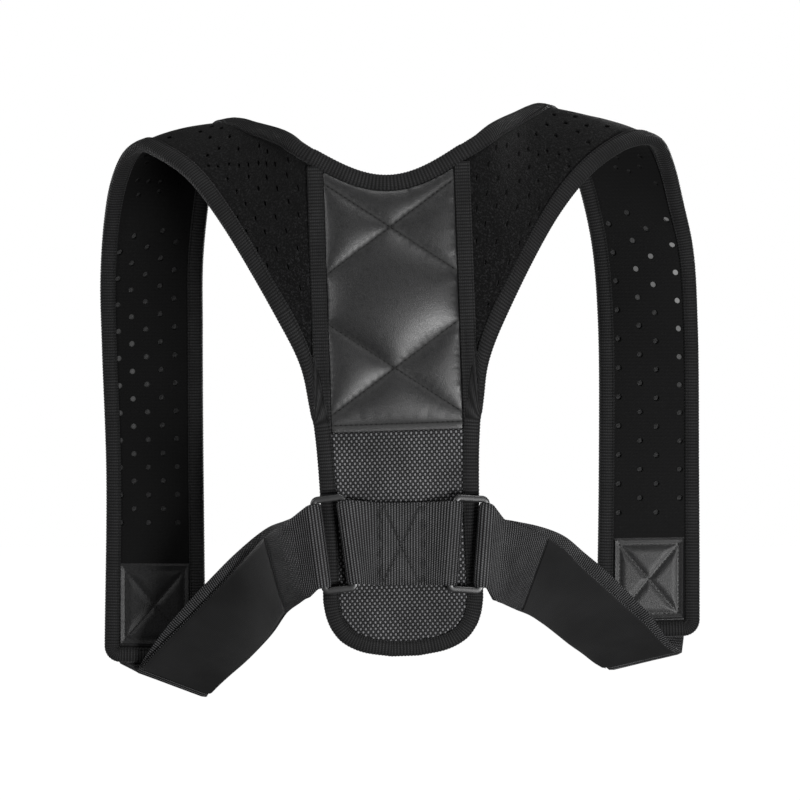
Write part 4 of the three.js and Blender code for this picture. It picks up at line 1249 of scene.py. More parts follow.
# %% The edges of the straps and the panel
def strap_edge(side, way):
    """A strap's edge from the panel to the middle of its end; `way` is 1 on the arm's side."""
    cloth = strap_cloth[side]
    length = cloth.run.length
    straight = np.arange(0, length - STRAP_CORNER, 1 * MM)
    angles = np.linspace(0, np.pi / 2, 10)
    corner = length - STRAP_CORNER * (1 - np.sin(angles))
    corner_share = 1 - STRAP_CORNER * (1 - np.cos(angles)) / cloth.half_at(corner)
    end_share = np.linspace(corner_share[-1], 0.02, 20)[1:]
    a = np.concatenate([straight, corner, np.full(19, length)])
    b = way * np.concatenate([np.ones(len(straight)), corner_share, end_share])
    inner_a = np.minimum(a, length - 20 * MM)
    return edge_stretch(cloth, np.stack([a, b], 1), np.stack([inner_a, b * 0.5], 1))


def panel_edge(points, inner):
    """An edge of the panel from its own x and z, with points that lie further in."""
    return edge_stretch(panel, np.asarray(points)[:, ::-1], np.asarray(inner)[:, ::-1])


def reversed_stretch(stretch):
    leg = stretch["leg"]
    return {
        "place": stretch["place"][::-1], "normal": stretch["normal"][::-1],
        "outward": stretch["outward"][::-1], "leg": lambda q: tuple(part[::-1] for part in leg(q))}


neck_x = np.linspace(-SEAM_SPACING / 2, SEAM_SPACING / 2, 90)
neck = np.stack([neck_x, neck_edge(neck_x)], 1)
neck_stretches = [
    reversed_stretch(strap_edge("left", -1)),
    panel_edge(neck, neck - [0, 20 * MM]),
    strap_edge("right", -1),
]
side_line = np.vstack([waist_outline(BINDING_EDGE, 80)[3:], foot_outline(BINDING_EDGE, 60)[1:]])
foot = np.vstack([side_line * [-1, 1], side_line[::-1]])
foot_inner = np.stack([foot[:, 0] * 0.4, np.maximum(foot[:, 1], foot[:, 1].min() + 45 * MM)], 1)
arm_stretches = [
    reversed_stretch(strap_edge("left", 1)),
    panel_edge(foot, foot_inner),
    strap_edge("right", 1),
]
neck_binding, NECK_TAPE = binding("neck_binding_tape", neck_stretches)
arm_binding, ARM_TAPE = binding("arm_binding_tape", arm_stretches)
neck_seam = edge_stitches("neck_binding_stitches", neck_stretches)
arm_seam = edge_stitches("arm_binding_stitches", arm_stretches)

# %% [markdown]
# ## Layers of cloth
# Tapes, webbing, patches and the nylon facing are all flat layers with a thickness. One function
# makes such a layer from a grid of points, the cloth's normals there, and two heights over the
# middle: the near face and the far face. Letting the heights meet at the borders rounds the edges.


# %% A layer from a grid
def layer(name, points, normals, high, low, uv, finish, closed=False, plain_back=False):
    """A closed solid between two heights over a grid; `closed` joins the last row to the first.
    A plain back has no points inside its border, which suits a back that lies on straight cloth."""
    rows, columns = points.shape[:2]
    upper = points + normals * np.broadcast_to(high, (rows, columns))[..., None]
    lower = points + normals * np.broadcast_to(low, (rows, columns))[..., None]
    index = np.arange(rows * columns).reshape(rows, columns)
    if closed:
        index = np.vstack([index, index[:1]])
    top = np.stack([index[:-1, :-1], index[1:, :-1], index[1:, 1:], index[:-1, 1:]], -1).reshape(-1, 4)
    below = (top[:, ::-1] + rows * columns).tolist()
    if plain_back:
        back = index + rows * columns
        below = [[*back[0], *back[1, ::-1]], [*back[-2], *back[-1, ::-1]]]
        below += [[back[r, 0], back[r, -1], back[r + 1, -1], back[r + 1, 0]] for r in range(1, rows - 2)]
        below[0] = [*back[0], back[1, -1], back[1, 0]]
        below[1] = [back[-2, 0], back[-2, -1], *back[-1, ::-1]]
    borders = [index[:, 0], index[::-1, -1]]
    if not closed:
        borders += [index[0, ::-1], index[-1]]
    walls = [np.stack([b[1:], b[:-1], b[:-1] + rows * columns, b[1:] + rows * columns], -1) for b in borders]
    faces = np.vstack([top, *walls]).tolist() + [[int(corner) for corner in face] for face in below]
    flat = np.asarray(uv).reshape(-1, 2)
    piece = make_mesh(name, np.vstack([upper.reshape(-1, 3), lower.reshape(-1, 3)]), faces,
                      np.vstack([flat, flat]), 50)
    piece.data.materials.append(finish)
    if plain_back:
        tidy_mesh(piece)
    return face_outward(piece)


def tidy_mesh(piece):
    """Joins points that coincide and drops those that no face uses."""
    work = bmesh.new()
    work.from_mesh(piece.data)
    bmesh.ops.remove_doubles(work, verts=work.verts, dist=0.01 * MM)
    bmesh.ops.delete(work, geom=[vert for vert in work.verts if not vert.link_faces], context="VERTS")
    work.to_mesh(piece.data)
    work.free()


def rounded(across, edge):
    """1 in the middle of a band and falling to a quarter at its borders; `edge` is the rounded share."""
    near = np.clip((1 - np.abs(across)) / edge, 0, 1)
    return 0.25 + 0.75 * np.sqrt(1 - (1 - near) ** 2)


def groove(distance, width):
    """A soft groove, 1 in its middle."""
    return np.exp(-((distance / width) ** 2))


# %% [markdown]
# ## Seam tapes and facing
# A knitted tape covers each seam between panel and wing. It tucks under the neck binding above and
# under the arm binding below, so its two ends follow those bindings. The ballistic nylon of the
# lower back fills the panel inside its binding, and its weave is coarse enough to be real relief.

# %% Seam tapes
PANEL_CLOTH = 2.05 * MM
TAPE_WIDTH = 9.5 * MM
arm_nose = np.vstack([stretch["place"] for stretch in arm_stretches])


def tape_foot(x):
    """Height at which the arm binding starts to cover the panel at x."""
    heights = np.arange(20 * MM, -30 * MM, -0.25 * MM)
    line = panel.at(heights, np.full(len(heights), x), 0.0)
    clear = from_outline_3d(line, arm_nose) > 8.2 * MM
    return heights[np.argmin(clear)]


def from_outline_3d(points, outline):
    return np.array([np.linalg.norm(outline - point, axis=1).min() for point in points])


def seam_tape(side):
    way = SIDES[side]
    across = np.linspace(-1, 1, 15)
    x = way * SEAM_SPACING / 2 + across * TAPE_WIDTH / 2
    slope = NECK_DIP * np.pi / SEAM_SPACING
    top = neck_edge(np.clip(x, -SEAM_SPACING / 2, SEAM_SPACING / 2)) - 8.2 * MM * math.hypot(1, slope)
    top = np.minimum(top, PANEL_TOP - 10 * MM)
    foot = np.array([tape_foot(value) for value in x])
    share = np.linspace(0, 1, 330)[:, None]
    z = top + (foot - top) * share
    grid_x = np.broadcast_to(x, z.shape)
    points, normals = panel.at(z, grid_x), panel.normal(z, grid_x)
    inner = -way * across
    line = groove(inner - 0.72, 0.1) + groove(inner - 0.4, 0.1) + groove(inner + 0.72, 0.12)
    high = PANEL_CLOTH + (1.15 * rounded(across, 0.2) - 0.28 * line) * MM
    uv = np.stack([z, grid_x], -1)
    piece = layer(f"{side}_knit_seam_tape", points, normals, high, 2.02 * MM, uv, binding_knit)
    run_tree(piece, ribs, Pitch=1.9 * MM, Depth=0.2 * MM, Slant=0.0, Finish=binding_knit)
    report(piece)
    rows = []
    for column in (0.72, 0.4, -0.72):
        lane_x = way * SEAM_SPACING / 2 - way * column * TAPE_WIDTH / 2
        lane_top, lane_foot = np.interp(lane_x, np.sort(x), top[np.argsort(x)]), np.interp(lane_x, np.sort(x), foot[np.argsort(x)])
        lane_z = np.linspace(lane_top, lane_foot, 90)
        lane = np.full(90, lane_x)
        rows.append((panel.at(lane_z, lane, PANEL_CLOTH + 0.95 * MM), panel.normal(lane_z, lane)))
    thread = stitch_rows(f"{side}_seam_tape_stitches", rows, 2.9 * MM, 2.2 * MM, 0.5 * MM, dark_thread)
    return piece, thread


tapes = {side: seam_tape(side) for side in SIDES}

# %% Ballistic facing
PAD_TOP_GAP = 8.9 * MM
PAD_FOOT = PANEL_TOP - BINDING_EDGE - NECK_DIP - PAD_TOP_GAP - 0.3 * MM - 146 * MM


def nylon_facing():
    below = np.vstack([waist_outline(10.1 * MM, 60), foot_outline(10.1 * MM, 60)[1:]])
    step = WEAVE_CELL / 3.3
    z = np.arange(PAD_FOOT - 0.2 * MM, below[-1, 1], -step)
    order = np.argsort(below[:, 1])
    half = np.minimum(np.interp(z, below[order, 1], below[order, 0]), 41.5 * MM)
    lanes = np.arange(-90, 91) * step
    x = np.clip(lanes[None], -half[:, None], half[:, None])
    grid_z = np.broadcast_to(z[:, None], x.shape)
    points, normals = panel.at(grid_z, x), panel.normal(grid_z, x)
    high = PANEL_CLOTH + 0.75 * MM * np.clip((half[:, None] - abs(x)) / (0.6 * MM) + 0.3, 0, 1)
    piece = layer("woven_nylon_facing", points, normals, high, 2.02 * MM, np.stack([x, grid_z], -1),
                  ballistic, plain_back=True)
    run_tree(piece, basket_weave, Cell=WEAVE_CELL, Depth=0.42 * MM, Finish=ballistic)
    report(piece)
    return piece


facing = nylon_facing()

# %% [markdown]
# ## The quilted leather pad
# Four seams cross the pad in two wide X shapes and hold it down, and the padding swells between
# them. The leather is simulated as cloth: a flat bag whose back, border and seams are pinned is
# filled with a little pressure, so the fields round up and pull small creases into the seams, as
# they do when the real pad is sewn. The result is then laid on the curved back.

# %% Pattern of the pad
PAD_HALF = 39.95 * MM
QUILT_LINES = [((-1, 22), (1, 78)), ((1, 22), (-1, 78)), ((-1, 108), (1, 164)), ((1, 108), (-1, 164))]
HEM_DOWN = (PANEL_TOP - PAD_FOOT) / MM - 4.6
QUILT_LINES.append(((-1, HEM_DOWN), (1, HEM_DOWN)))


def pad_top(x):
    slope = NECK_DIP * np.pi / SEAM_SPACING * np.sin(np.pi * x / SEAM_SPACING)
    return neck_edge(x) - 8.5 * MM * np.hypot(1, slope)


def quilt_line(ends, count=60):
    (side_a, down_a), (side_b, down_b) = ends
    share = np.linspace(0, 1, count)
    x = PAD_HALF * (side_a + (side_b - side_a) * share)
    z = PANEL_TOP - (down_a + (down_b - down_a) * share) * MM
    return np.stack([x, z], 1)


def pad_outline(spacing=2.2 * MM):
    x = np.linspace(-PAD_HALF, PAD_HALF, 38)
    top = np.stack([x, pad_top(x)], 1)
    side = np.linspace(pad_top(PAD_HALF), PAD_FOOT, 66)[1:-1]
    right = np.stack([np.full(64, PAD_HALF), side], 1)
    bottom = np.stack([x[::-1], np.full(38, PAD_FOOT)], 1)
    return np.vstack([top, right, bottom, right[::-1] * [-1, 1]])


# %% Simulating the padding
SIM_SCALE = 10
SEAM_LEVEL = 2.75 * MM
FILM_PUFF, MOST_PUFF = 5.6 * MM, 8 * MM


def to_line(points, line):
    """Distance of points from a straight seam."""
    start, end = line[0], line[-1]
    direction = (end - start) / np.linalg.norm(end - start)
    along = np.clip((points - start) @ direction, 0, np.linalg.norm(end - start))
    return np.linalg.norm(points - start - along[:, None] * direction, axis=1)


def soap_film(triangles, pinned):
    """Heights of a film blown up over the fields and held along the seams; the highest is 1."""
    count = len(pinned)
    edges = np.vstack([triangles[:, [i, (i + 1) % 3]] for i in range(3)])
    here, there = np.concatenate([edges[:, 0], edges[:, 1]]), np.concatenate([edges[:, 1], edges[:, 0]])
    neighbours = np.maximum(np.bincount(here, minlength=count), 1)
    film = np.zeros(count)
    for _ in range(1500):
        film = np.bincount(here, film[there], count) / neighbours + 1
        film[pinned] = 0
    return film / film.max()


def puffed(flat, triangles, pinned):
    """Shift and height of the leather's points after the bag has filled."""
    count = len(flat)
    height = np.where(pinned, 0, 0.4 * MM)
    top = np.stack([flat[:, 0], -height, flat[:, 1]], 1)
    back = np.stack([flat[:, 0], np.full(count, 0.5 * MM), flat[:, 1]], 1)
    edges = {}
    for triangle in triangles.tolist():
        for i in range(3):
            pair = (triangle[i], triangle[(i + 1) % 3])
            edges[pair] = 1
    walls = [(j, i, i + count, j + count) for i, j in edges if (j, i) not in edges]
    faces = triangles.tolist() + (triangles[:, ::-1] + count).tolist() + walls
    bag = make_mesh("pad_bag", np.vstack([top, back]) * SIM_SCALE, faces)
    face_outward(bag)
    pins = bag.vertex_groups.new(name="pins")
    pins.add([*np.flatnonzero(pinned).tolist(), *range(count, 2 * count)], 1.0, "REPLACE")
    cloth = bag.modifiers.new("cloth", "CLOTH")
    settings = cloth.settings
    settings.quality = 6
    settings.mass = 0.3
    settings.tension_stiffness = settings.compression_stiffness = 8
    settings.shear_stiffness = 6
    settings.bending_stiffness = 5.0
    settings.tension_damping = settings.compression_damping = settings.shear_damping = 8
    settings.vertex_group_mass = "pins"
    settings.use_pressure = True
    settings.uniform_pressure_force = 4.0
    settings.shrink_min = -0.006
    settings.effector_weights.gravity = 0
    cloth.collision_settings.use_collision = False
    scene = bpy.context.scene
    for frame_number in range(1, 21):
        scene.frame_set(frame_number)
    graph = bpy.context.evaluated_depsgraph_get()
    result = bag.evaluated_get(graph).to_mesh()
    moved = np.empty(len(result.vertices) * 3)
    result.vertices.foreach_get("co", moved)
    moved = moved.reshape(-1, 3)[:count] / SIM_SCALE
    scene.frame_set(1)
    mesh = bag.data
    bpy.data.objects.remove(bag)
    bpy.data.meshes.remove(mesh)
    return moved[:, [0, 2]] - flat, -moved[:, 1]


def leather_pad():
    outline = pad_outline()
    seams = [quilt_line(ends) for ends in QUILT_LINES]
    flat, triangles, _ = flat_pattern(outline, [], 2.3 * MM, seams)
    border = from_outline(flat, outline) < 0.02 * MM
    to_seam = np.min([to_line(flat, seam) for seam in seams], 0)
    pinned = border | (to_seam < 0.03 * MM)
    a, b, c = (flat[triangles[:, k]] for k in range(3))
    turned = (b - a)[:, 0] * (c - a)[:, 1] - (b - a)[:, 1] * (c - a)[:, 0] < 0
    triangles = np.where(turned[:, None], triangles[:, ::-1], triangles)
    shift, height = puffed(flat, triangles, pinned)
    print("the padding rises", round(height.max() * 1000, 2), "mm and shifts", round(abs(shift).max() * 1000, 2))
    height = FILM_PUFF * soap_film(triangles, pinned) ** 0.7 + 0.4 * MOST_PUFF * np.tanh(height / MOST_PUFF)
    shift = np.clip(shift, -0.8 * MM, 0.8 * MM)
    place = flat + shift
    upper = panel.at(place[:, 1], place[:, 0], SEAM_LEVEL + height)
    lower = panel.at(flat[:, 1], flat[:, 0], np.full(len(flat), PANEL_CLOTH))
    piece = thick_piece("quilted_leather_pad", flat, triangles, pinned, upper, lower, 60)
    piece.data.materials.append(pad_leather)
    # Painted shade: this band darkens the leather's colour along the quilting seams.
    sewn = piece.data.attributes.new("sewn", "FLOAT", "POINT")
    near = np.exp(-((to_seam / (1.1 * MM)) ** 2))
    sewn.data.foreach_set("value", np.concatenate([near, near]))
    smoother = piece.modifiers.new("smoother", "SUBSURF")
    smoother.levels = smoother.render_levels = 1
    bpy.context.view_layer.update()
    graph = bpy.context.evaluated_depsgraph_get()
    mesh = bpy.data.meshes.new_from_object(piece.evaluated_get(graph), preserve_all_data_layers=True, depsgraph=graph)
    old, piece.data = piece.data, mesh
    piece.modifiers.clear()
    mesh.name = piece.name
    bpy.data.meshes.remove(old)
    report(piece)
    return piece, seams


pad, quilt_seams = leather_pad()


# %% Stitches of the quilting
def pad_stitches():
    rows = []
    for seam in quilt_seams:
        inner = seam[2:-2]
        rows.append((panel.at(inner[:, 1], inner[:, 0], SEAM_LEVEL + 0.12 * MM), panel.normal(inner[:, 1], inner[:, 0])))
    return stitch_rows("quilting_stitches", rows, 3.1 * MM, 2.3 * MM, 0.85 * MM, dark_thread)


pad_seam = pad_stitches()

# %% [markdown]
# ## Webbing
# All the webbing is 50 mm wide and 1.8 mm thick. `even_sections` strings sections together, straight
# pieces and bends alike, spaces them evenly and rounds the joints a little, as stiff nylon does at a fold.
# The bands follow it with their ribs in the mesh where the weave shows.


# %% Rings and the bends round them
RING_HEIGHT, RING_WIDTH, RING_BAR, RING_DEPTH = 60 * MM, 22.5 * MM, 4.2 * MM, 3.6 * MM
RING_SPACING, RING_SHIFT, WEB_DROP = 81.4 * MM, 3 * MM, 243 * MM
LOOP_RADIUS = RING_BAR / 2 + 0.5 * MM + WEB_THICK / 2
RING_STANDOFF = BINDING_FACE + 1 * MM + WEB_THICK / 2 + LOOP_RADIUS
LAYER_STEP = (WEB_THICK + 0.8 * MM) / 2
LOOP_LEAD = 3.6 * MM
RING_TURNS = {"left": (7.5, 2), "right": (-4, -2)}


class RingFrame:
    """A ring's own directions: up its long axis, outward to its side, and back from the panel."""

    def __init__(self, side):
        lean, yaw = (math.radians(angle) for angle in RING_TURNS[side])
        turn = np.array((Matrix.Rotation(-lean, 3, "Y") @ Matrix.Rotation(-yaw, 3, "Z")))
        self.centre = np.array([RING_SHIFT + SIDES[side] * RING_SPACING / 2, -RING_STANDOFF, PANEL_TOP - WEB_DROP])
        self.up = turn @ [0, 0, 1]
        self.outward = turn @ [SIDES[side], 0, 0]
        self.back = turn @ [0, -1, 0]

    def bend(self, bar_side, first, last, steps=14):
        """Sections half round a bar with a straight lead at each end."""
        bar = self.centre + self.outward * bar_side * (RING_WIDTH - RING_BAR) / 2
        angles = np.linspace(first, last, steps + 1) * np.pi / 2
        across = [LOOP_LEAD, *(-np.cos(angles) * LOOP_RADIUS), LOOP_LEAD]
        out = [first * LOOP_RADIUS, *(np.sin(angles) * LOOP_RADIUS), last * LOOP_RADIUS]
        reach = self.up * 25.5 * MM
        return [(bar + self.outward * bar_side * a + self.back * o, reach) for a, o in zip(across, out)]


frames = {side: RingFrame(side) for side in SIDES}


# %% A path of sections
def even_sections(sections, spacing, soften, closed=False):
    """Evenly spaced middles and reaches along a list of sections; `soften` rounds the joints."""
    middles, reaches = (np.array([section[k] for section in sections]) for k in range(2))
    if closed:
        middles, reaches = np.vstack([middles, middles[:1]]), np.vstack([reaches, reaches[:1]])
    distance = np.concatenate([[0], np.cumsum(np.linalg.norm(np.diff(middles, axis=0), axis=1))])
    count = int(round(distance[-1] / spacing))
    wanted = np.linspace(0, distance[-1], count + (0 if closed else 1), endpoint=not closed)
    both = np.stack([np.interp(wanted, distance, column) for column in np.hstack([middles, reaches]).T], 1)
    window = int(round(soften / spacing))
    if closed:
        both = rolling_mean(np.vstack([both[-2 * window:], both, both[:2 * window]]), window)[2 * window:-2 * window]
    elif window:
        both = np.vstack([both[:1], rolling_mean(both, window)[1:-1], both[-1:]])
    return wanted, both[:, :3], both[:, 3:]


def band_grid(middles, reaches, columns, flip_at, closed=False):
    """Points and normals of a band; the normal leans toward the viewer at station `flip_at`."""
    across = np.linspace(-1, 1, columns)
    points = bowed(middles[:, None] + reaches[:, None] * across[None, :, None])
    if closed:
        lengthwise = (np.roll(points, -1, 0) - np.roll(points, 1, 0)) / 2
    else:
        lengthwise = np.gradient(points, axis=0)
    normals = unit(np.cross(lengthwise, points[:, -1:] - points[:, :1]))
    if normals[flip_at, columns // 2, 1] > 0:
        normals = -normals
    return across, points, normals


# %% The webbing across the back
def centre_web():
    level = PANEL_TOP - WEB_DROP
    upright = np.array([0, 0, WEB_WIDTH / 2])
    rear = 2.3 * MM + 1.2 * MM + 0.3 * MM + WEB_THICK / 2
    front = rear + 2 * LAYER_STEP

    def flat(x, depth):
        return np.array([RING_SHIFT + x, -depth, level]), upright

    half = 15 * MM
    left, right = frames["left"], frames["right"]
    sections = [flat(0, front - 0.35 * MM), flat(-half, front), *left.bend(-1, 1, -1), flat(-half, rear), flat(half, rear),
                *right.bend(-1, -1, 1), flat(half, front)]
    distance, middles, reaches = even_sections(sections, 0.42 * MM, 1.2 * MM, closed=True)
    across, points, normals = band_grid(middles, reaches, 26, 0, closed=True)
    x = middles[:, 0] - RING_SHIFT
    on_front = (middles[:, 1] < -(front + rear) / 2) & (abs(x) < half + 3 * MM)
    columns = groove(abs(x) - 13.2 * MM, 1.6 * MM)
    diagonal = groove(abs(abs(x)[:, None] - abs(across)[None] * 11 * MM), 1.3 * MM) * (abs(x) < 11 * MM)[:, None]
    sunk = np.where(on_front[:, None], 0.35 * columns[:, None] + 0.3 * diagonal, 0) * MM
    edge = rounded(across, 0.1)[None] * WEB_THICK / 2
    uv = np.stack(np.broadcast_arrays(distance[:, None], across[None] * WEB_WIDTH / 2), -1)
    piece = layer("centre_webbing", points, normals, edge - sunk, -edge, uv, webbing, closed=True)
    run_tree(piece, ribs, Pitch=1.7 * MM, Depth=0.24 * MM, Slant=0.0, Finish=webbing)
    report(piece)
    surface = bowed(np.array([[0, -front - WEB_THICK / 2, level]]))[0]
    loop = float(np.linalg.norm(middles - np.roll(middles, 1, 0), axis=1).sum())
    return piece, surface, (WEB_WIDTH, round(loop, 4))


web, web_face, WEB_CUT = centre_web()


# %% Stitches of the webbing block
def zigzag(start, end, swing, pitch):
    """A zigzag line between two flat points."""
    start, end = np.array(start), np.array(end)
    length = np.linalg.norm(end - start)
    steps = int(length / pitch)
    direction = (end - start) / length
    aside = np.array([-direction[1], direction[0]])
    share = np.arange(steps + 1) / steps
    return start + share[:, None] * (end - start) + aside * (swing * (-1.0) ** np.arange(steps + 1))[:, None]


def block_stitches():
    x, z = 13.2 * MM, 23 * MM
    lines = [zigzag((sx, -z), (sx, z), 1.5 * MM, 0.8 * MM) for sx in (-x, x)]
    lines += [zigzag((-11 * MM, sz * z), (11 * MM, -sz * z), 0.9 * MM, 0.9 * MM) for sz in (-1, 1)]
    rows = []
    for line in lines:
        place = np.stack([RING_SHIFT + line[:, 0], np.full(len(line), web_face[1] - 0.1 * MM), web_face[2] + line[:, 1]], 1)
        bow = bowed(np.stack([place[:, 0], 0 * place[:, 0], place[:, 2] + SHOULDER_RISE], 1))[:, 1]
        place[:, 1] += bow - bowed(np.array([[0, 0, web_face[2] + SHOULDER_RISE]]))[0, 1]
        rows.append((place, np.array([0, -1.0, 0])))
    return stitch_rows("block_stitches", rows, 1.6 * MM, 1.7 * MM, 0.5 * MM, web_thread)


block_seam = block_stitches()


# %% Rings
def ring(side):
    """A moulded ring: a rounded bar bent round a rounded oblong."""
    frame_here = frames[side]
    w, h, r = (RING_WIDTH - RING_BAR) / 2, (RING_HEIGHT - RING_BAR) / 2, 2.6 * MM
    path, outs = [], []
    for corner, (sx, sz) in enumerate([(1, 1), (-1, 1), (-1, -1), (1, -1)]):
        for angle in np.linspace(0, np.pi / 2, 9) + corner * np.pi / 2:
            out = np.array([np.cos(angle), np.sin(angle)])
            path.append(np.array([sx * (w - r), sz * (h - r)]) + r * out)
            outs.append(out)
    path, outs = np.array(path), np.array(outs)
    turn = np.linspace(0, 2 * np.pi, 21)[:-1]
    across = np.sign(np.cos(turn)) * np.abs(np.cos(turn)) ** 0.62 * RING_BAR / 2
    depth = np.sign(np.sin(turn)) * np.abs(np.sin(turn)) ** 0.62 * RING_DEPTH / 2
    flat = path[:, None] + outs[:, None] * across[None, :, None]
    points = (frame_here.centre + flat[..., :1] * frame_here.outward + flat[..., 1:] * frame_here.up
              + depth[None, :, None] * frame_here.back)
    piece = swept(f"{side}_moulded_ring", bowed(points), closed=True, sharp=70)
    piece.data.materials.append(ring_plastic)
    report(piece)
    return piece


rings = {side: ring(side) for side in SIDES}

# %% [markdown]
# ## Side straps
# Each side strap is sewn behind the end of its shoulder strap, folds back, runs under the arm to the
# ring, goes round the ring's outer bar, and lies back on itself. On this last layer sits a smooth
# hook tape, which ends in a crisp line before the ring.

# %% Layers beside the run
SIDE_TABLES = {"left": LEFT_RUN, "right": RIGHT_RUN}
WOVEN_LENGTH, LOOP_RUNOUT, TAIL_GAP, FAR_SHIFT = 52 * MM, 13 * MM, 9 * MM, 8 * MM


def side_run(side):
    here = frames[side]
    rows = [table_section(row, SIDES[side], WEB_WIDTH) for row in SIDE_TABLES[side]]
    bar = here.centre + here.outward * (RING_WIDTH - RING_BAR) / 2
    return Run([*rows, (bar, here.up * WEB_WIDTH / 2, 0)])


def beside(run, start, lift, shift=0.0, step=1.5 * MM):
    """Sections of a layer beside the run, lifted from the wearer and shifted along its width."""
    distances = np.arange(start, run.length - LOOP_RUNOUT, step)
    middle, reach, _ = run.at(distances)
    normal = unit(np.cross(np.gradient(middle, axis=0), reach))
    if normal[len(normal) // 2, 1] > 0:
        normal = -normal
    share = np.sin(np.pi * np.linspace(0, 1, len(distances)))[:, None]
    middle = middle + normal * lift + reach * shift * share * 2 / WEB_WIDTH
    return list(zip(middle, reach))


def sewn_end(side):
    """Sections on the far face of the strap's end, from above to just below the end."""
    run = strap_cloth[side].run
    (end,), (reach,), _ = run.at(np.array([run.length]))
    (above,), _, _ = run.at(np.array([run.length - 52 * MM]))
    down = unit(end - above)
    away = np.array([0, BINDING_FACE + 0.3 * MM + WEB_THICK / 2, 0])
    return [(end - down * d + away, unit(reach) * WEB_WIDTH / 2) for d in (52 * MM, 26 * MM, 0, -3 * MM)]


def side_strap(side):
    run = side_run(side)
    near = beside(run, TAIL_GAP, LAYER_STEP)[::-1]
    sections = [*sewn_end(side), *beside(run, 0, -LAYER_STEP, FAR_SHIFT), *frames[side].bend(1, -1, 1), *near]
    distance, middles, reaches = even_sections(sections, 0.6 * MM, 1.8 * MM)
    across, points, normals = band_grid(middles, reaches, 18, len(distance) - 20)
    edge = rounded(across, 0.1)[None] * WEB_THICK / 2
    uv = np.stack(np.broadcast_arrays(distance[:, None], across[None] * WEB_WIDTH / 2), -1)
    piece = layer(f"{side}_side_webbing", points, normals, edge, -edge, uv, webbing)
    run_tree(piece, ribs, Pitch=1.8 * MM, Depth=0.2 * MM, Slant=0.0, Finish=side_weave)
    report(piece)
    return piece


def tape_on_tail(side):
    run = side_run(side)
    sections = beside(run, TAIL_GAP, LAYER_STEP)
    distances = np.arange(TAIL_GAP, run.length - LOOP_RUNOUT, 1.5 * MM)
    taped = [section for section, d in zip(sections, distances) if d < run.length - WOVEN_LENGTH]
    distance, middles, reaches = even_sections(taped, 1.2 * MM, 1.8 * MM)
    across, points, normals = band_grid(middles, reaches * 0.976, 31, 10)
    high = WEB_THICK / 2 + (0.15 + 1.05 * rounded(across, 0.06)) * MM
    high = np.broadcast_to(high, (len(distance), 31)).copy()
    seam = groove(abs(across) - 0.9, 0.025)
    high -= seam * 0.3 * MM
    uv = np.stack(np.broadcast_arrays(distance[:, None], across[None] * WEB_WIDTH / 2), -1)
    piece = layer(f"{side}_smooth_hook_tape", points, normals, high, WEB_THICK / 2 + 0.1 * MM, uv, hook_tape)
    report(piece)
    rows = []
    for c in (1, 29):
        rows.append(((points + normals * (WEB_THICK / 2 + 0.95 * MM))[:, c], normals[:, c]))
    thread = stitch_rows(f"{side}_hook_tape_stitches", rows, 3.2 * MM, 2.4 * MM, 0.5 * MM, dark_thread)
    return piece, thread


side_straps = {side: side_strap(side) for side in SIDES}
hook_tapes = {side: tape_on_tail(side) for side in SIDES}

# %% [markdown]
# ## End patches
# A square of grained leathercloth lies on the lining of each strap's end and covers the seam that
# holds the side strap on the other face. Its edge is sewn all round and a cross is sewn through it,
# so four small cushions rise between the stitches. The surface of the strap is read again, this time
# from its lining side, so the patch bends with the strap.


# %% Patches
def end_patch(side):
    cloth = strap_cloth[side]
    length = cloth.run.length
    a = np.linspace(length - 66 * MM, length - 10 * MM, 72)
    w = np.linspace(-47.5 / 2 * MM, 47.5 / 2 * MM, 62)
    grid_a, grid_w = np.meshgrid(a, w, indexing="ij")
    share = grid_w / cloth.half_at(grid_a)
    points, normals = cloth.at(grid_a, share), -cloth.normal(grid_a, share)
    down = (grid_a - grid_a.mean()) / (28 * MM)
    over = grid_w / (23.75 * MM)
    rim = np.maximum(abs(down), abs(over))
    cross = np.minimum(abs(down - over), abs(down + over)) * 18 * MM
    frame_line = abs(rim - 0.84) * 25 * MM
    inner = rim < 0.84
    puff = np.clip(np.minimum(frame_line, np.where(inner, cross, 9)) / (5 * MM), 0, 1)
    high = PANEL_CLOTH + (0.55 + 0.95 * np.sin(puff * np.pi / 2)) * MM
    high = np.where(rim > 0.97, PANEL_CLOTH + 0.35 * MM, high)
    uv = np.stack([grid_w, grid_a], -1)
    piece = layer(f"{side}_leather_patch", points, normals, high, PANEL_CLOTH, uv, patch_leather)
    report(piece)
    corners = [(-0.84, -0.84), (-0.84, 0.84), (0.84, 0.84), (0.84, -0.84), (-0.84, -0.84)]
    lines = [*zip(corners[:-1], corners[1:]), (corners[0], corners[2]), (corners[1], corners[3])]
    rows = []
    for start, end in lines:
        t = np.linspace(0, 1, 40)
        la = length - 38 * MM + (start[0] + (end[0] - start[0]) * t) * 28 * MM
        lw = (start[1] + (end[1] - start[1]) * t) * 23.75 * MM
        ls = lw / cloth.half_at(la)
        rows.append((cloth.at(la, ls, -PANEL_CLOTH - 0.7 * MM), -cloth.normal(la, ls)))
    thread = stitch_rows(f"{side}_patch_stitches", rows, 2.9 * MM, 2.1 * MM, 0.5 * MM, dark_thread)
    return piece, thread


patches = {side: end_patch(side) for side in SIDES}

# %% [markdown]
# ## Floor
# The brace is held up in the air as it hangs when worn, so a plain pale floor lies well below it. The
# floor glows a little by itself and sends no light back up, so that the black cloth keeps its depth.

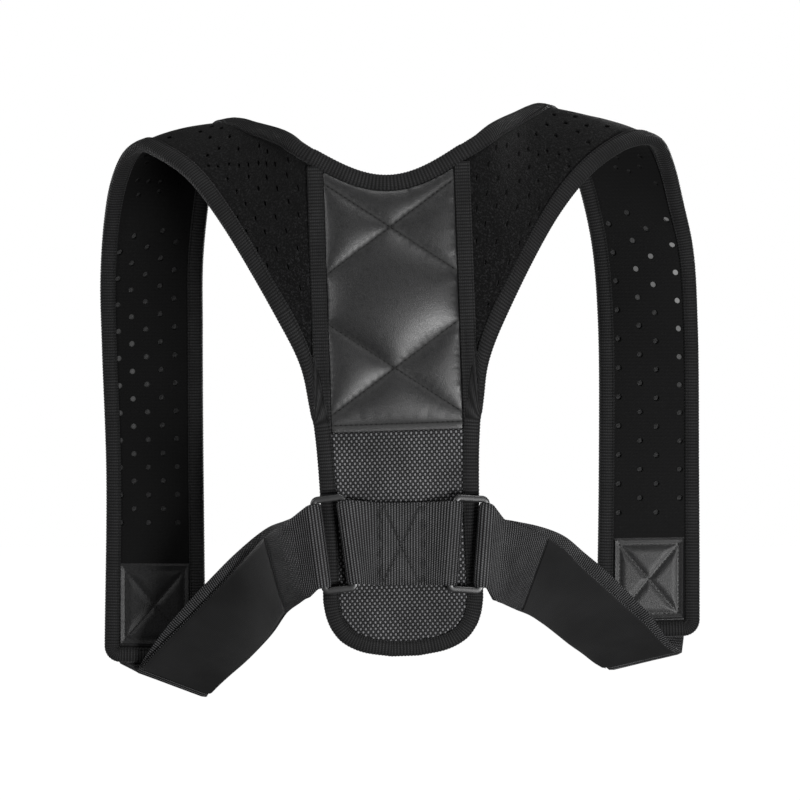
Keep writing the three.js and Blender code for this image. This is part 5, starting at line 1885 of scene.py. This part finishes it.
# %% Floor
floor = make_mesh("floor", [(-9, -9, -0.9), (9, -9, -0.9), (9, 9, -0.9), (-9, 9, -0.9)], [(0, 1, 2, 3)])
pale = Finish("pale_floor", Roughness=0.9)
pale.shader.inputs["Base Color"].default_value = (0.5, 0.5, 0.5, 1)
pale.shader.inputs["Emission Color"].default_value = (0.95, 0.95, 0.95, 1)
pale.shader.inputs["Emission Strength"].default_value = 1.0
floor.data.materials.append(pale.material)
floor.visible_diffuse = False
floor.visible_glossy = False

# %% [markdown]
# ## Tying the pieces to the frame
# Every piece rides on the one body of the brace, and stands for the CAD solid whose space it fills.
# The size that each cloth piece was cut to is printed.

# %% The cloth's own size
def cut_of(piece):
    """Width and length of the flat cloth and its area, read from the flat coordinates of its two faces."""
    mesh = piece.data
    flat = np.empty(len(mesh.loops) * 2)
    mesh.uv_layers["cloth"].uv.foreach_get("vector", flat)
    mesh.calc_loop_triangles()
    corners = np.empty(len(mesh.loop_triangles) * 3, dtype=np.int32)
    mesh.loop_triangles.foreach_get("loops", corners)
    flat = flat.reshape(-1, 2)
    a, b, c = flat[corners].reshape(-1, 3, 2).transpose(1, 0, 2)
    (ux, uy), (vx, vy) = (b - a).T, (c - a).T
    half = float(abs(ux * vy - uy * vx).sum() / 4)
    width, length = sorted(float(size) for size in np.ptp(flat, axis=0))
    return (round(width, 4), round(length, 4)), half


def cloth(piece, held, rests_on, trim=(), size=None):
    """Prints the size that a sheet of cloth was cut to."""
    (width, length), area = cut_of(piece)
    if size:
        width, length = size
        area = width * length
    width = max(width, 10 * MM)
    area = min(area, width * length)
    print(piece.name, "is cut", round(width * 1000, 1), "by", round(length * 1000, 1), "mm, area", round(area * 1e4), "square cm")


# %% Riding and replacing
def dress(piece, slot, *nodes, trim=()):
    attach(piece, "root")
    if nodes:
        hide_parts(*nodes)
    for part in trim:
        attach(part, "root")


dress(back, "laminate", "spine_panel")
dress(pad, "leather", "leather_pad", trim=[pad_seam])
dress(facing, "ballistic", "nylon_facing")
dress(neck_binding, "binding", "neck_binding", trim=[neck_seam])
dress(arm_binding, "binding", "arm_binding", trim=[arm_seam])
dress(web, "webbing", "centre_web", trim=[block_seam])
for side in SIDES:
    dress(straps[side], "laminate", f"{side}_shoulder_strap", trim=[shade_lenses[side]])
    dress(tapes[side][0], "binding", f"{side}_seam_tape", trim=[tapes[side][1]])
    dress(patches[side][0], "leather", f"{side}_end_patch", trim=[patches[side][1]])
    dress(rings[side], "plastic", f"{side}_ring")
    dress(side_straps[side], "webbing", f"{side}_side_strap")
    dress(hook_tapes[side][0], "hook", f"{side}_hook_tape", trim=[hook_tapes[side][1]])

# %% Printing the cut of the cloth
cloth(back, "stretched", [straps["left"], straps["right"]])
cloth(facing, "laid", [back])
cloth(neck_binding, "folded", [back, straps["left"], straps["right"]], [neck_seam], NECK_TAPE)
cloth(arm_binding, "folded", [back, straps["left"], straps["right"]], [arm_seam], ARM_TAPE)
cloth(web, "folded", [back, rings["left"], rings["right"]], [block_seam], WEB_CUT)
for side in SIDES:
    cloth(straps[side], "draped", [back], [shade_lenses[side]])
    cloth(tapes[side][0], "laid", [back, straps[side]], [tapes[side][1]])
    cloth(patches[side][0], "laid", [straps[side]], [patches[side][1]])
    cloth(side_straps[side], "folded", [straps[side], rings[side]])
    cloth(hook_tapes[side][0], "laid", [side_straps[side]], [hook_tapes[side][1]])
